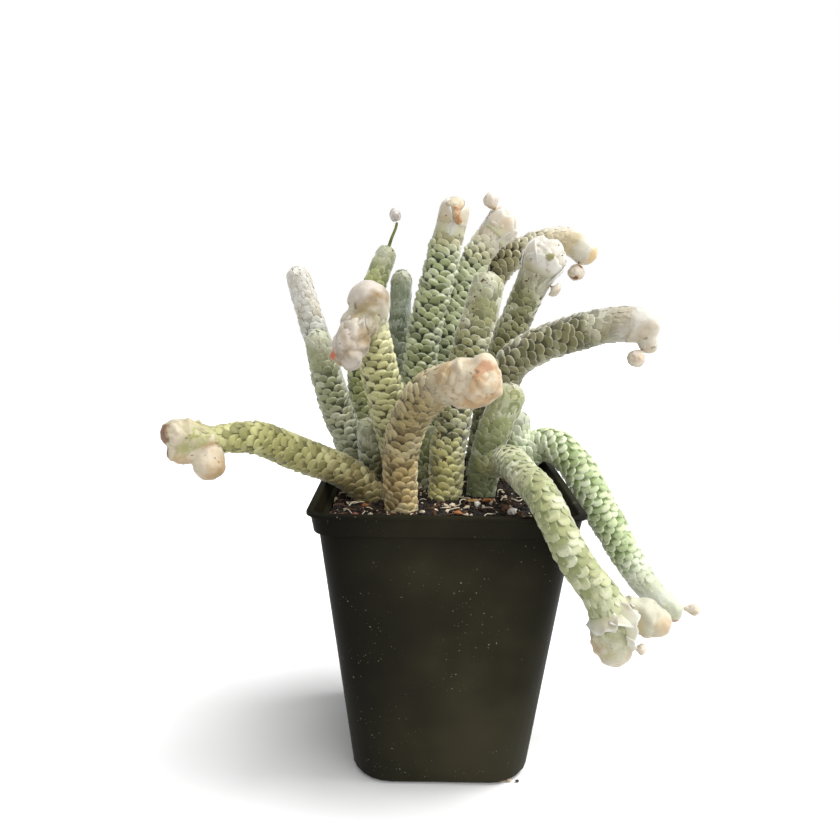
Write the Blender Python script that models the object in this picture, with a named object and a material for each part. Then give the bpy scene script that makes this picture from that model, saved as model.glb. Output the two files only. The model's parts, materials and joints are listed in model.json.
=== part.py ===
"""Potted avonia: a clump of thick scaly stems in a small square nursery pot.

Run with blender --background --python part.py or from Blender's text editor.
The origin is the middle of the pot's underside, +Z is up and the pot's
front side faces -Y. Every length below is in millimetres until it is
handed to Blender, which works in metres.
"""

import math

import bmesh
import bpy
from mathutils import Vector
from mathutils.bvhtree import BVHTree

MM = 0.001

# Driving dimensions of the pot: a standard 7 x 7 x 8 cm nursery pot.
POT_HEIGHT = 80.0
POT_TOP_HALF = 35.0
POT_BASE_HALF = 24.65
POT_WALL = 1.0
POT_FLOOR = 1.2
BAND_HEIGHT = 6.0
BAND_HALF_LOW = 33.5
BAND_HALF_HIGH = 34.1
BODY_TOP_HALF = 32.4
LIP_DEPTH = 0.8
CORNER_TOP = 4.8
CORNER_BODY = 6.5
CORNER_BASE = 11.0
CORNER_STEPS = 6
DRAIN_RADIUS = 2.6
DRAIN_SPACING = 13.0

# What touches in the real plant keeps this gap, so that no two solids meet.
GAP = 0.3

# Potting mix: its top is a low mound that leans up towards the right.
SOIL_EDGE_LEVEL = 74.6
SOIL_MOUND = 1.6
SOIL_MOUND_WIDTH = 17.0
SOIL_RIGHT_BANK = 1.4
ROOT_DEPTH_LEVEL = 69.5
SOCKET_TOP_LEVEL = 82.0

STEM_SIDES = 10
STEM_RING_SPACING = 4.6
STEM_SWELL = 0.018

# Each stem runs from its buried foot to its tip: x, y, z and radius.
STEMS = {
    "stem_left_reach": [
        (-19.5, -1.5, ROOT_DEPTH_LEVEL, 4.2), (-20.5, -2, 76, 4.4), (-24.5, -3, 80.3, 4.8),
        (-29.5, -4, 83.8, 4.9), (-35, -5.5, 86.4, 5.0), (-43, -8, 90, 5.1), (-49, -12, 94, 4.7),
        (-54.5, -16, 95.2, 4.5), (-60, -19, 95.2, 3.8), (-64, -21.5, 95.3, 3.6)],
    "stem_left_tall": [
        (-24.5, 26, ROOT_DEPTH_LEVEL, 3.6), (-25.5, 26.5, 76, 4.0), (-28, 27.5, 82.5, 4.6),
        (-31.6, 29, 91.7, 4.8), (-37, 30, 107.7, 4.7), (-42, 31, 123.5, 4.4),
        (-45.2, 31, 134.4, 4.2), (-46.6, 31, 139.8, 4.1)],
    "stem_left_front": [
        (-24.5, 17.5, ROOT_DEPTH_LEVEL, 4.0), (-25, 17.3, 76, 4.3), (-27, 16.5, 83, 4.8),
        (-29.7, 14, 91.7, 4.9), (-33, 12, 101, 4.8), (-35.2, 11, 110, 4.7),
        (-36.5, 10, 116.6, 4.5), (-37.4, 9, 121.5, 4.3)],
    "stem_left_stub": [
        (-20.5, 8, ROOT_DEPTH_LEVEL, 3.4), (-21, 8.3, 76, 3.6), (-21.6, 8.4, 85, 3.6),
        (-22.2, 8, 90.4, 3.6), (-22.8, 7, 96, 3.4)],
    "stem_nodding": [
        (-12, 7.5, ROOT_DEPTH_LEVEL, 4.2), (-12.8, 6.5, 76, 4.4), (-13.4, 5, 84.5, 4.6),
        (-14.7, 3, 91.8, 4.8), (-16.1, 1, 100, 5.2), (-17.8, -2, 109, 5.4),
        (-19.5, -5, 117.6, 5.1), (-20.7, -8, 125, 5.0), (-20.9, -10.5, 130.5, 5.8),
        (-20.8, -13, 136, 5.6)],
    "stem_flowering": [
        (-13.6, 19.2, ROOT_DEPTH_LEVEL, 3.4), (-14.8, 19.6, 76, 3.6), (-19, 21, 85, 3.9),
        (-23.8, 22, 95, 4.0), (-25.8, 21.7, 103, 4.0), (-25.6, 21.3, 110, 4.0),
        (-24.8, 21, 118, 4.0), (-22.7, 21, 130, 3.8), (-19.4, 21, 140, 3.7), (-16.9, 21, 145.8, 3.3)],
    "stem_back_slim": [
        (-8.8, 26.3, ROOT_DEPTH_LEVEL, 3.4), (-9.2, 26.5, 76, 3.5), (-10, 27.2, 84, 3.7),
        (-11.5, 28, 91, 3.8), (-13, 28, 105, 3.8), (-13.7, 28, 121, 3.8), (-13.5, 28, 132, 3.7),
        (-13.2, 28, 139, 3.6)],
    "stem_back_lean": [
        (-16.8, 26.2, ROOT_DEPTH_LEVEL, 3.2), (-17.2, 27, 76, 3.3), (-18.2, 28.7, 82, 3.8),
        (-18.8, 32.5, 88, 4.1), (-18, 38.5, 92, 4.2), (-18, 45, 95, 4.1), (-17.5, 52, 98.5, 3.8)],
    "stem_centre_tall": [
        (-5.5, 16, ROOT_DEPTH_LEVEL, 4.3), (-6, 16, 76, 4.5), (-7.4, 15.5, 86, 4.8),
        (-8.3, 15, 96, 5.0), (-8.2, 15, 103, 5.0), (-7.3, 15, 111, 5.1), (-5.9, 15, 122, 5.1),
        (-3.1, 15, 134, 5.1), (-0.5, 15, 145, 4.9), (1.5, 15, 153, 4.6), (2.9, 15, 160.3, 4.5)],
    "stem_centre_right": [
        (1.5, 22.5, ROOT_DEPTH_LEVEL, 4.1), (1.2, 22.8, 76, 4.3), (0.2, 24, 90, 4.6),
        (-0.9, 24, 104.5, 4.8), (1, 24, 118.5, 4.8), (3.6, 24, 127.5, 4.7), (6.6, 24, 135, 4.6),
        (8.8, 24, 142, 4.5), (11.6, 24, 147, 4.6), (15.2, 24, 151.4, 5.2), (20.3, 24, 156, 5.5)],
    "stem_club": [
        (0, -2, ROOT_DEPTH_LEVEL, 4.8), (0.4, -2, 76, 5.0), (0.7, -2, 81, 5.1), (1, -2, 89.5, 5.2),
        (2.8, -2, 101, 5.2), (5, -2, 112, 5.1), (7.5, -2, 122, 5.1), (9.5, -2, 129, 5.2),
        (11.6, -2, 138.5, 5.1)],
    "stem_front_bowed": [
        (-11.6, -11.5, ROOT_DEPTH_LEVEL, 4.7), (-11.7, -12, 76, 4.8), (-12, -12.3, 81, 4.9),
        (-12.2, -13, 86.5, 5.0), (-11.5, -14.3, 94.5, 5.2), (-8.9, -17, 102.5, 5.4),
        (-4.6, -22, 109, 5.6), (0.7, -27, 112, 5.7), (5.8, -31, 112.7, 6.0), (12, -35, 113.3, 5.8)],
    "stem_right_arched": [
        (17, 25.8, ROOT_DEPTH_LEVEL, 3.6), (17, 26.4, 77, 3.7), (16.2, 28.8, 90, 4.4),
        (14, 30.5, 105, 4.6), (12.8, 31, 118, 4.7), (13.3, 31, 130.5, 4.6), (15.6, 31, 139, 4.4),
        (20.4, 31, 143.8, 4.4), (27, 31, 147.2, 4.4), (34.3, 30, 149.2, 4.5), (40.7, 29, 148, 4.4),
        (45.8, 28, 142.5, 3.8)],
    "stem_right_open": [
        (11, 20, ROOT_DEPTH_LEVEL, 3.9), (11.2, 19.9, 77, 4.0), (12.6, 19.4, 90, 4.5),
        (15.5, 19, 103, 4.8), (18.4, 18.3, 116, 5.0), (20.9, 18, 123.5, 5.0), (23, 17.5, 129.5, 4.9),
        (25.4, 15.8, 135.5, 5.2), (28, 13.5, 142, 6.2), (30.2, 12, 148.5, 5.6)],
    "stem_right_reach": [
        (12.5, 11.5, ROOT_DEPTH_LEVEL, 3.9), (13, 11, 77, 4.1), (14.2, 9.5, 86, 4.5),
        (15.2, 8.5, 97, 4.9), (16.9, 7, 108, 5.2), (19.7, 5, 114.5, 5.3), (24.4, 3, 118, 5.3),
        (30, 1, 120.5, 5.3), (35.5, -1, 122.7, 5.3), (41, -3, 124.5, 5.3), (46.4, -5, 125.6, 5.1),
        (51.5, -7, 125.7, 4.9), (57, -8.7, 124.5, 4.8)],
    "stem_inner_stub": [
        (-3.9, 6.5, ROOT_DEPTH_LEVEL, 3.0), (-4.3, 6.8, 76, 3.1), (-5, 7, 82, 3.2),
        (-5, 7, 89, 2.9), (-4.9, 7, 95, 2.5)],
    "stem_forked_front": [
        (10.5, 0, ROOT_DEPTH_LEVEL, 4.4), (10.8, 0, 76, 4.6), (11.1, -0.3, 80.5, 4.7),
        (11.6, -1, 85.5, 4.8), (12.6, -2, 91, 4.9), (14.9, -3, 98.5, 5.0), (17.2, -4, 104, 5.0),
        (18.8, -4.3, 108.5, 4.9)],
    "stem_forked_right": [
        (22.3, 15.3, ROOT_DEPTH_LEVEL, 4.2), (22.5, 15.5, 77, 4.3), (22.8, 16, 85, 4.4),
        (23.2, 17, 91, 4.3), (23.3, 17.5, 97, 4.0)],
}

# Side shoots, swollen heads and papery lobes grow out of their stem in one
# piece. Each starts inside the stem: x, y, z and radius.
OUTGROWTHS = {
    "stem_left_reach": [
        [(-60.1, -20.2, 93.4, 2.6), (-60.8, -22.4, 89.6, 4.2), (-61.1, -23, 85.1, 4.0)],
        [(-61, -20.3, 95.4, 3.2), (-66, -22.5, 96.9, 4.4), (-72.8, -24, 98, 4.2)],
        [(-62, -20.6, 94, 3.0), (-66.5, -22, 93.2, 3.8), (-71.8, -22.4, 92.6, 3.6)]],
    "stem_nodding": [
        [(-21.8, -11.5, 127, 4.0), (-24.6, -14.5, 122.4, 4.5), (-26.6, -16.6, 113.8, 4.6)]],
    "stem_front_bowed": [
        [(6.5, -31.5, 112.5, 3.6), (9.2, -33.8, 119.5, 3.4)]],
    "stem_right_reach": [
        [(52.8, -8, 125, 3.2), (54.4, -9.2, 118, 2.6)]],
    "stem_forked_front": [
        [(12.3, -1.5, 84.5, 4.2), (15.5, -4, 86.8, 4.5), (17.6, -9.5, 88.4, 4.7),
         (18.2, -15.5, 88.6, 4.7), (20.1, -24.5, 87.3, 4.5), (22.6, -33.8, 86.1, 4.4),
         (25.7, -41.5, 80.2, 4.3), (29.1, -45, 73.7, 4.4), (32.3, -47, 69.3, 4.4),
         (35.5, -48, 65.6, 4.6), (37.1, -49, 60.5, 5.2), (38, -49.8, 55, 5.0),
         (39.6, -50, 50.2, 4.2)],
        [(37.5, -48.4, 62, 3.6), (43, -48.6, 62, 4.4), (50.3, -49, 58.7, 3.9)]],
    "stem_forked_right": [
        [(23.3, 16, 80, 4.0), (27.3, 17.3, 85, 4.9), (31.8, 15.5, 87.8, 5.3), (36.6, 11, 86.4, 5.4),
         (41.2, 7.6, 80.6, 5.4), (45.3, 5, 73, 5.4), (49.2, 3, 66.6, 5.3), (52.6, 1, 60.6, 5.0),
         (57.2, -1, 53.1, 4.6), (62.3, -3, 46.9, 4.1), (69.7, -4.3, 40.6, 3.6)]],
}

# Dried seed capsules on thin stalks: the stem that bears each, the middle
# of the capsule and its radius.
SEED_CAPSULES = [
    ("stem_centre_right", (13.2, 22, 160.2), 2.2),
    ("stem_right_arched", (40.5, 27, 139.3), 2.5),
    ("stem_right_open", (31.3, 12.5, 134.6), 2.2),
    ("stem_right_reach", (50.2, -10.5, 116.8), 2.4),
    ("stem_forked_front", (43.6, -52.5, 55.2), 1.2),
    ("stem_forked_right", (73.4, -5, 43.6), 1.7),
]

# Loose pieces on the mix: name, x, y, half sizes and a turn in degrees.
LOOSE_PIECES = [
    ("perlite_1", 27.9, 12, (1.7, 1.4, 1.2), 20),
    ("perlite_2", 28.0, 4, (1.5, 1.3, 1.1), 65),
    ("perlite_3", 28.0, -6.5, (2.0, 1.7, 1.5), 110),
    ("perlite_4", 17.5, -20.5, (1.6, 1.3, 1.1), 35),
    ("perlite_5", -27.5, -22, (1.7, 1.1, 0.7), 10),
    ("perlite_6", 9, -13, (1.2, 1.0, 0.9), 80),
    ("red_pebble", -23.5, -22, (1.5, 1.3, 1.1), 50),
    ("grey_pebble", -15.6, -5.5, (1.5, 1.3, 1.1), 15),
    ("bark_chip_1", 3.5, -19, (2.1, 1.1, 0.5), 130),
    ("bark_chip_2", 12, -9.5, (2.4, 1.2, 0.6), 25),
    ("bark_chip_3", -22, -11, (2.2, 1.0, 0.5), 75),
    ("dry_leaf", 7.5, -9.2, (2.6, 1.3, 0.5), 155),
]

BLACK_PLASTIC = ("black_plastic", (0.020, 0.019, 0.016), 0.45)
DARK_SOIL = ("dark_soil", (0.016, 0.012, 0.009), 0.95)
GREEN_SCALES = ("green_scales", (0.32, 0.40, 0.22), 0.6)
PALE_PAPER = ("pale_paper", (0.80, 0.72, 0.62), 0.7)
STALK_GREEN = ("stalk_green", (0.14, 0.26, 0.05), 0.5)
PERLITE_WHITE = ("perlite_white", (0.80, 0.78, 0.73), 0.9)
BARK_BROWN = ("bark_brown", (0.36, 0.16, 0.06), 0.85)
PEBBLE_GREY = ("pebble_grey", (0.25, 0.24, 0.22), 0.8)


def clear_scene():
    for old in list(bpy.data.objects):
        bpy.data.objects.remove(old, do_unlink=True)


def material(spec):
    name, colour, roughness = spec
    found = bpy.data.materials.get(name)
    if found:
        return found
    made = bpy.data.materials.new(name)
    made.use_nodes = True
    shader = made.node_tree.nodes["Principled BSDF"]
    shader.inputs["Base Color"].default_value = (*colour, 1.0)
    shader.inputs["Roughness"].default_value = roughness
    shader.inputs["Metallic"].default_value = 0.0
    return made


def object_from_rings(name, rings, finish, sharp_angle=math.radians(40), staggered=False):
    """One closed body from rings of points; a ring of one point is a pole.

    In a staggered body every other ring is turned by half a step, and the
    strips between rings are triangles that lean to match.
    """
    mesh = bmesh.new()
    loops = [[mesh.verts.new(Vector(point) * MM) for point in ring] for ring in rings]
    for n, (low, high) in enumerate(zip(loops, loops[1:])):
        count = max(len(low), len(high))
        for i in range(count):
            j = (i + 1) % count
            if len(low) == 1:
                mesh.faces.new((low[0], high[j], high[i]))
            elif len(high) == 1:
                mesh.faces.new((low[i], low[j], high[0]))
            elif not staggered:
                mesh.faces.new((low[i], low[j], high[j], high[i]))
            elif n % 2:
                mesh.faces.new((low[i], low[j], high[i]))
                mesh.faces.new((low[j], high[j], high[i]))
            else:
                mesh.faces.new((low[i], high[j], high[i]))
                mesh.faces.new((low[i], low[j], high[j]))
    bmesh.ops.recalc_face_normals(mesh, faces=mesh.faces)
    data = bpy.data.meshes.new(name)
    mesh.to_mesh(data)
    mesh.free()
    data.shade_smooth()
    data.set_sharp_from_angle(angle=sharp_angle)
    data.materials.append(material(finish))
    made = bpy.data.objects.new(name, data)
    bpy.context.collection.objects.link(made)
    return made


def combine(target, other, operation):
    """Join or cut with another object, once and for good."""
    modifier = target.modifiers.new(operation.lower(), "BOOLEAN")
    modifier.operation = operation
    modifier.solver = "EXACT"
    modifier.object = other
    graph = bpy.context.evaluated_depsgraph_get()
    result = bpy.data.meshes.new_from_object(target.evaluated_get(graph), depsgraph=graph)
    if not result.polygons:
        raise RuntimeError(f"the {operation.lower()} of {target.name} and {other.name} is empty")
    target.modifiers.clear()
    target.data = result
    bpy.data.objects.remove(other, do_unlink=True)


# ---------------------------------------------------------------- the pot

def square_ring(half, corner, level):
    """Points round a square with rounded corners, anticlockwise from +X."""
    points = []
    inner = half - corner
    for quarter in range(4):
        start = quarter * math.pi / 2
        centre_x = inner * (1 if quarter in (0, 3) else -1)
        centre_y = inner * (1 if quarter in (0, 1) else -1)
        for step in range(CORNER_STEPS + 1):
            angle = start + step * math.pi / 2 / CORNER_STEPS
            points.append((centre_x + corner * math.cos(angle),
                           centre_y + corner * math.sin(angle), level))
    return points


def body_half(level):
    """Half width of the pot's tapered outside below the band."""
    share = level / (POT_HEIGHT - BAND_HEIGHT)
    return POT_BASE_HALF + (BODY_TOP_HALF - POT_BASE_HALF) * share


def body_corner(level):
    share = level / (POT_HEIGHT - BAND_HEIGHT)
    return CORNER_BASE + (CORNER_BODY - CORNER_BASE) * share


def make_pot():
    band_foot = POT_HEIGHT - BAND_HEIGHT
    lip_foot = POT_HEIGHT - LIP_DEPTH
    outside = [
        (POT_BASE_HALF - 1.6, CORNER_BASE - 1.2, 0.0),
        (POT_BASE_HALF - 0.5, CORNER_BASE - 0.4, 0.5),
        (body_half(1.7), body_corner(1.7), 1.7),
        (body_half(band_foot / 2), body_corner(band_foot / 2), band_foot / 2),
        (BODY_TOP_HALF, CORNER_BODY, band_foot - 0.3),
        (BAND_HALF_LOW, CORNER_TOP + 0.9, band_foot + 0.3),
        (BAND_HALF_HIGH, CORNER_TOP + 0.2, lip_foot - 0.2),
        (POT_TOP_HALF, CORNER_TOP, lip_foot + 0.1),
        (POT_TOP_HALF, CORNER_TOP, POT_HEIGHT - 0.15),
        (POT_TOP_HALF - 0.3, CORNER_TOP - 0.2, POT_HEIGHT),
    ]
    inside = [
        (BAND_HALF_HIGH - POT_WALL + 0.2, CORNER_TOP - 0.8, POT_HEIGHT),
        (BAND_HALF_HIGH - POT_WALL, CORNER_TOP - 0.8, POT_HEIGHT - 0.2),
        (BAND_HALF_LOW - POT_WALL, CORNER_TOP, band_foot + 1.0),
        (BODY_TOP_HALF - POT_WALL, CORNER_BODY - POT_WALL, band_foot + 0.2),
        (body_half(band_foot / 2) - POT_WALL, body_corner(band_foot / 2) - POT_WALL, band_foot / 2),
        (body_half(POT_FLOOR) - POT_WALL - 0.5, CORNER_BASE - POT_WALL, POT_FLOOR),
    ]
    rings = [[(0, 0, 0)]]
    rings += [square_ring(*row) for row in outside]
    rings += [square_ring(*row) for row in inside]
    rings += [[(0, 0, POT_FLOOR)]]
    pot = object_from_rings("pot", rings, BLACK_PLASTIC)
    for side_x in (-1, 1):
        for side_y in (-1, 1):
            drain = round_rod("drain_cutter", (side_x * DRAIN_SPACING, side_y * DRAIN_SPACING),
                              DRAIN_RADIUS, -2.0, POT_FLOOR + 2.0)
            combine(pot, drain, "DIFFERENCE")
    return pot


def round_rod(name, centre, radius, low, high, sides=14):
    """An upright rod, used to cut the drainage holes."""
    def ring(level):
        turns = [2 * math.pi * i / sides for i in range(sides)]
        return [(centre[0] + radius * math.cos(t), centre[1] + radius * math.sin(t), level)
                for t in turns]
    return object_from_rings(name, [[(*centre, low)], ring(low), ring(high), [(*centre, high)]],
                             BLACK_PLASTIC)


# ---------------------------------------------------------------- the mix

def soil_level(x, y):
    """Height of the potting mix: a mound round the crown, banked up to the right."""
    reach = ((x - 6) ** 2 + (y - 12) ** 2) / (2 * SOIL_MOUND_WIDTH ** 2)
    mound = SOIL_MOUND * math.exp(-reach)
    bank = SOIL_RIGHT_BANK / (1 + math.exp(-(x - 14) / 5))
    ripple = 0.25 * math.sin(0.55 * x + 1.3) * math.cos(0.47 * y - 0.4)
    return SOIL_EDGE_LEVEL + mound + bank + ripple


def make_mix():
    """The block of mix that fills the pot from its floor to just below the rim."""
    band_foot = POT_HEIGHT - BAND_HEIGHT
    floor = POT_FLOOR + GAP
    clear = POT_WALL + GAP
    walls = [
        (body_half(floor) - clear - 0.6, CORNER_BASE - clear, floor),
        (body_half(band_foot / 2) - clear, body_corner(band_foot / 2) - clear, band_foot / 2),
        (body_half(band_foot - 0.6) - clear, CORNER_BODY - clear, band_foot - 0.6),
    ]
    rings = [[(0, 0, floor)]] + [square_ring(*row) for row in walls]
    top_half = BODY_TOP_HALF - clear - 0.2
    for share in (1.0, 0.9, 0.76, 0.6, 0.42, 0.22):
        ring = square_ring(top_half * share, (CORNER_BODY - clear) * share, 0)
        lower = 0.5 if share == 1.0 else 0.0
        rings.append([(x, y, soil_level(x, y) - lower) for x, y, _ in ring])
    rings.append([(0, 0, soil_level(0, 0))])
    return object_from_rings("potting_mix", rings, DARK_SOIL, math.radians(60))


# -------------------------------------------------------------- the stems

def spline(route, share):
    """A smooth curve through the route's points and radii (Catmull-Rom)."""
    last = len(route) - 1
    place = min(share * last, last - 1e-9)
    i = int(place)
    t = place - i
    p0, p1, p2, p3 = (Vector(route[max(0, min(last, k))]) for k in (i - 1, i, i + 1, i + 2))
    return 0.5 * ((2 * p1) + (p2 - p0) * t + (2 * p0 - 5 * p1 + 4 * p2 - p3) * t * t
                  + (3 * p1 - p0 - 3 * p2 + p3) * t ** 3)


def along(route, spacing):
    """Stations at an even spacing, each with its place and its radius."""
    fine = [spline(route, k / 400) for k in range(401)]
    lengths = [0.0]
    for a, b in zip(fine, fine[1:]):
        lengths.append(lengths[-1] + (b.xyz - a.xyz).length)
    total = lengths[-1]
    tip_radius = fine[-1].w
    count = max(3, round((total - tip_radius) / spacing))
    marks = [(total - tip_radius) * k / count for k in range(count + 1)]
    marks += [total - tip_radius * share for share in (0.62, 0.32, 0.1, 0.0)]
    stations = []
    k = 0
    for mark in marks:
        while k < 399 and lengths[k + 1] < mark:
            k += 1
        span = lengths[k + 1] - lengths[k]
        point = fine[k].lerp(fine[k + 1], (mark - lengths[k]) / span if span else 0.0)
        left = total - mark
        rounding = 1.0
        if left < tip_radius:
            rounding = math.sqrt(max(0.0, 1 - ((tip_radius - left) / tip_radius) ** 2))
        stations.append((point.xyz, point.w, rounding))
    return stations


def tube_rings(route, sides, spacing, swell, grow=0.0):
    """Rings round a route: a pole at its foot, even rings, and a pole at its tip."""
    stations = along(route, spacing)
    side = Vector((0, 0, 1)).cross(Vector(stations[1][0]) - Vector(stations[0][0]))
    if side.length < 0.05:
        side = Vector((1, 0, 0))
    rings = [[tuple(stations[0][0])]]
    for k, (centre, radius, rounding) in enumerate(stations[:-1]):
        before = stations[max(0, k - 1)][0]
        after = stations[min(len(stations) - 1, k + 1)][0]
        ahead = (after - before).normalized()
        side = (side - ahead * side.dot(ahead)).normalized()
        up = ahead.cross(side)
        wide = (radius * (1 + swell * math.sin(2.3 * k)) + grow) * rounding
        ring = []
        for i in range(sides):
            turn = 2 * math.pi * (i + 0.5 * (k % 2)) / sides
            ring.append(tuple(centre + wide * (math.cos(turn) * side + math.sin(turn) * up)))
        rings.append(ring)
    rings.append([tuple(stations[-1][0])])
    return rings


def tube(name, route, finish, sides=STEM_SIDES, spacing=STEM_RING_SPACING, swell=STEM_SWELL):
    """A closed round body along a route, flat at its foot and rounded at its tip."""
    return object_from_rings(name, tube_rings(route, sides, spacing, swell), finish, staggered=True)


def socket_cutter(name, route):
    """The stem's buried foot, grown all round by the gap and carried up above the mix."""
    rings = tube_rings(route, STEM_SIDES, STEM_RING_SPACING, STEM_SWELL, GAP + 0.02)
    foot = [(x, y, z - GAP) for x, y, z in rings[1]]
    shaft = [ring for ring in rings[2:-1] if min(point[2] for point in ring) < SOCKET_TOP_LEVEL]
    ends = [[tuple(sum(axis) / STEM_SIDES for axis in zip(*ring))] for ring in (foot, shaft[-1])]
    return object_from_rings(name, [ends[0], foot, *shaft, ends[1]], DARK_SOIL, staggered=True)


def make_stems(mix):
    """Grow every stem, and open a socket for its buried foot in the mix."""
    stems = {}
    for name, route in STEMS.items():
        stem = tube(name, route, GREEN_SCALES)
        for k, shoot in enumerate(OUTGROWTHS.get(name, [])):
            combine(stem, tube(f"{name}_shoot_{k}", shoot, GREEN_SCALES), "UNION")
        stems[name] = stem
        combine(mix, socket_cutter(f"{name}_socket", route), "DIFFERENCE")
    return stems


# -------------------------------------------------- flower, seeds, debris

def surface_tree(thing):
    mesh = bmesh.new()
    mesh.from_mesh(thing.data)
    tree = BVHTree.FromBMesh(mesh)
    mesh.free()
    return tree


def make_flower():
    """The green flower stalk and its white bud, above the flowering stem."""
    tip = Vector(STEMS["stem_flowering"][-1])
    foot = (tip.x - 0.1, tip.y - 0.2, tip.z + GAP + 0.1, 0.55)
    stalk = [foot, (-16.2, 20, 148.6, 0.5), (-14.9, 19, 151.6, 0.45), (-14.6, 18.5, 153.2, 0.5)]
    bud = [(-14.7, 18.4, 153.2 + GAP, 1.1), (-15.1, 18.2, 155, 1.8), (-15.4, 18, 157.2, 1.2)]
    tube("flower_stalk", stalk, STALK_GREEN, sides=6, spacing=1.6)
    tube("flower_bud", bud, PALE_PAPER, sides=8, spacing=1.0)


def make_dried_flower(stem):
    """The withered flower that lies against the tip of the tallest stem."""
    tree = surface_tree(stem)
    points = []
    for aim, radius in (((2.6, 8, 157), 0.7), ((3.2, 8, 155), 1.3), ((3.8, 8, 152), 0.9)):
        place, normal, _, _ = tree.find_nearest(Vector(aim) * MM)
        out = place / MM + normal * (GAP + radius + 0.25)
        points.append((*out, radius))
    tube("dried_flower", points, BARK_BROWN, sides=8, spacing=1.2)


def make_seed_capsules(stems):
    """Each capsule hangs on a thin stalk that starts at its stem's skin."""
    for number, (bearer, centre, radius) in enumerate(SEED_CAPSULES, 1):
        middle = Vector(centre)
        place, normal, _, _ = surface_tree(stems[bearer]).find_nearest(middle * MM)
        foot = place / MM + normal * (GAP + 0.12)
        ahead = (middle - foot).normalized()
        reach = (middle - foot).length
        stalk = max(0.3, reach - radius)
        route = [
            (*foot, 0.45),
            (*(foot + ahead * stalk * 0.6), 0.5),
            (*(foot + ahead * (stalk + radius * 0.35)), radius * 0.75),
            (*middle, radius),
            (*(middle + ahead * radius * 0.9), radius * 0.8),
        ]
        tube(f"seed_capsule_{number}", route, PALE_PAPER, sides=8, spacing=max(0.7, radius * 0.5))


def make_loose_pieces(mix):
    """Perlite, bark and pebbles, each lowered until it all but rests on the mix."""
    ground = surface_tree(mix)
    finishes = {"perlite": PERLITE_WHITE, "bark": BARK_BROWN, "dry": BARK_BROWN,
                "red": BARK_BROWN, "grey": PEBBLE_GREY}
    for name, x, y, halves, turn in LOOSE_PIECES:
        mesh = bmesh.new()
        bmesh.ops.create_icosphere(mesh, subdivisions=1, radius=1.0)
        for k, vert in enumerate(mesh.verts):
            rough = 1 + 0.12 * math.sin(5.1 * k + len(name) * x)
            vert.co = Vector((vert.co.x * halves[0], vert.co.y * halves[1], vert.co.z * halves[2])) * rough
        bmesh.ops.rotate(mesh, verts=mesh.verts, cent=(0, 0, 0),
                         matrix=Vector((0, 0, 1)).rotation_difference(Vector((0.12, 0.08, 1))).to_matrix())
        drop = 1e9
        cos, sin = math.cos(math.radians(turn)), math.sin(math.radians(turn))
        for vert in mesh.verts:
            vert.co = Vector((x + vert.co.x * cos - vert.co.y * sin,
                              y + vert.co.x * sin + vert.co.y * cos, vert.co.z))
            start = Vector((vert.co.x, vert.co.y, 200)) * MM
            hit, _, _, _ = ground.ray_cast(start, Vector((0, 0, -1)))
            drop = min(drop, vert.co.z - hit.z / MM)
        for vert in mesh.verts:
            vert.co.z -= drop - GAP
            vert.co *= MM
        data = bpy.data.meshes.new(name)
        mesh.to_mesh(data)
        mesh.free()
        data.materials.append(material(finishes[name.split("_")[0]]))
        bpy.context.collection.objects.link(bpy.data.objects.new(name, data))


def main():
    clear_scene()
    make_pot()
    mix = make_mix()
    stems = make_stems(mix)
    make_flower()
    make_dried_flower(stems["stem_centre_tall"])
    make_seed_capsules(stems)
    make_loose_pieces(mix)


main()
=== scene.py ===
import json
import math
import random

import bmesh
import bpy
from bpy.props import FloatProperty, FloatVectorProperty, IntProperty, PointerProperty
from mathutils import Matrix, Vector, noise
from mathutils.bvhtree import BVHTree
from mathutils.kdtree import KDTree

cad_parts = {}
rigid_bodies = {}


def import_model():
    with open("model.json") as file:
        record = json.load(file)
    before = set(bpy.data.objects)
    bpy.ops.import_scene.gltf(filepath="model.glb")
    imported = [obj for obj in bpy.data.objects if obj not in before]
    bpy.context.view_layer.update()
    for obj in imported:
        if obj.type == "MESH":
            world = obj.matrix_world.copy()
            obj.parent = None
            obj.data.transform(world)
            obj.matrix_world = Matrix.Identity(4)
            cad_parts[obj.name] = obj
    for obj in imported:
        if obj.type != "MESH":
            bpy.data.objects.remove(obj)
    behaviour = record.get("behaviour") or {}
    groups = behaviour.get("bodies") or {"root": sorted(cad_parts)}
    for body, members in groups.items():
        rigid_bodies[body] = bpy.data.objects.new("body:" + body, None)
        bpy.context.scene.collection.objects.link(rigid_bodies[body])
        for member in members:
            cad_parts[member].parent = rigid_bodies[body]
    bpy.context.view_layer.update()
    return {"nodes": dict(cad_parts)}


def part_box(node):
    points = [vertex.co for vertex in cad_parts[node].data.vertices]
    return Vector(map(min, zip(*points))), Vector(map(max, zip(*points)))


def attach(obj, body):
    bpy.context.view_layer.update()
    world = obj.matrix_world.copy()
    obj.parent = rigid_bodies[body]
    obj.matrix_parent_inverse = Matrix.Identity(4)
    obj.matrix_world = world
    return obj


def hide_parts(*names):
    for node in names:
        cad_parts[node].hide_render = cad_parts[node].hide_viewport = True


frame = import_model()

bl_info = {
    "name": "Potted avonia",
    "version": (1, 0, 0),
    "blender": (4, 5, 0),
    "location": "3D Viewport > Sidebar > Avonia",
    "description": "A scaly trailing succulent in a square nursery pot",
    "category": "Object",
}

NODES = frame["nodes"]
BODY = "root"
MM = 0.001
POT_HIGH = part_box("pot")[1]
MIX_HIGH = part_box("potting_mix")[1]
FOOT_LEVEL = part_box("stem_club")[0].z
# Without this the clock would pick where the noise starts.
noise.seed_set(1)
# The turn from one scale to the next, which never falls in line.
GOLDEN = math.pi * (3 - math.sqrt(5))
# How many different scales and grains there are to be repeated.
SHIELDS = 3
GRAINS = 4
# A solid stem ends where this many nearly equal edges meet in one corner.
TIP_EDGES = 10
TIP_EVENNESS = 1.12
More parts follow.
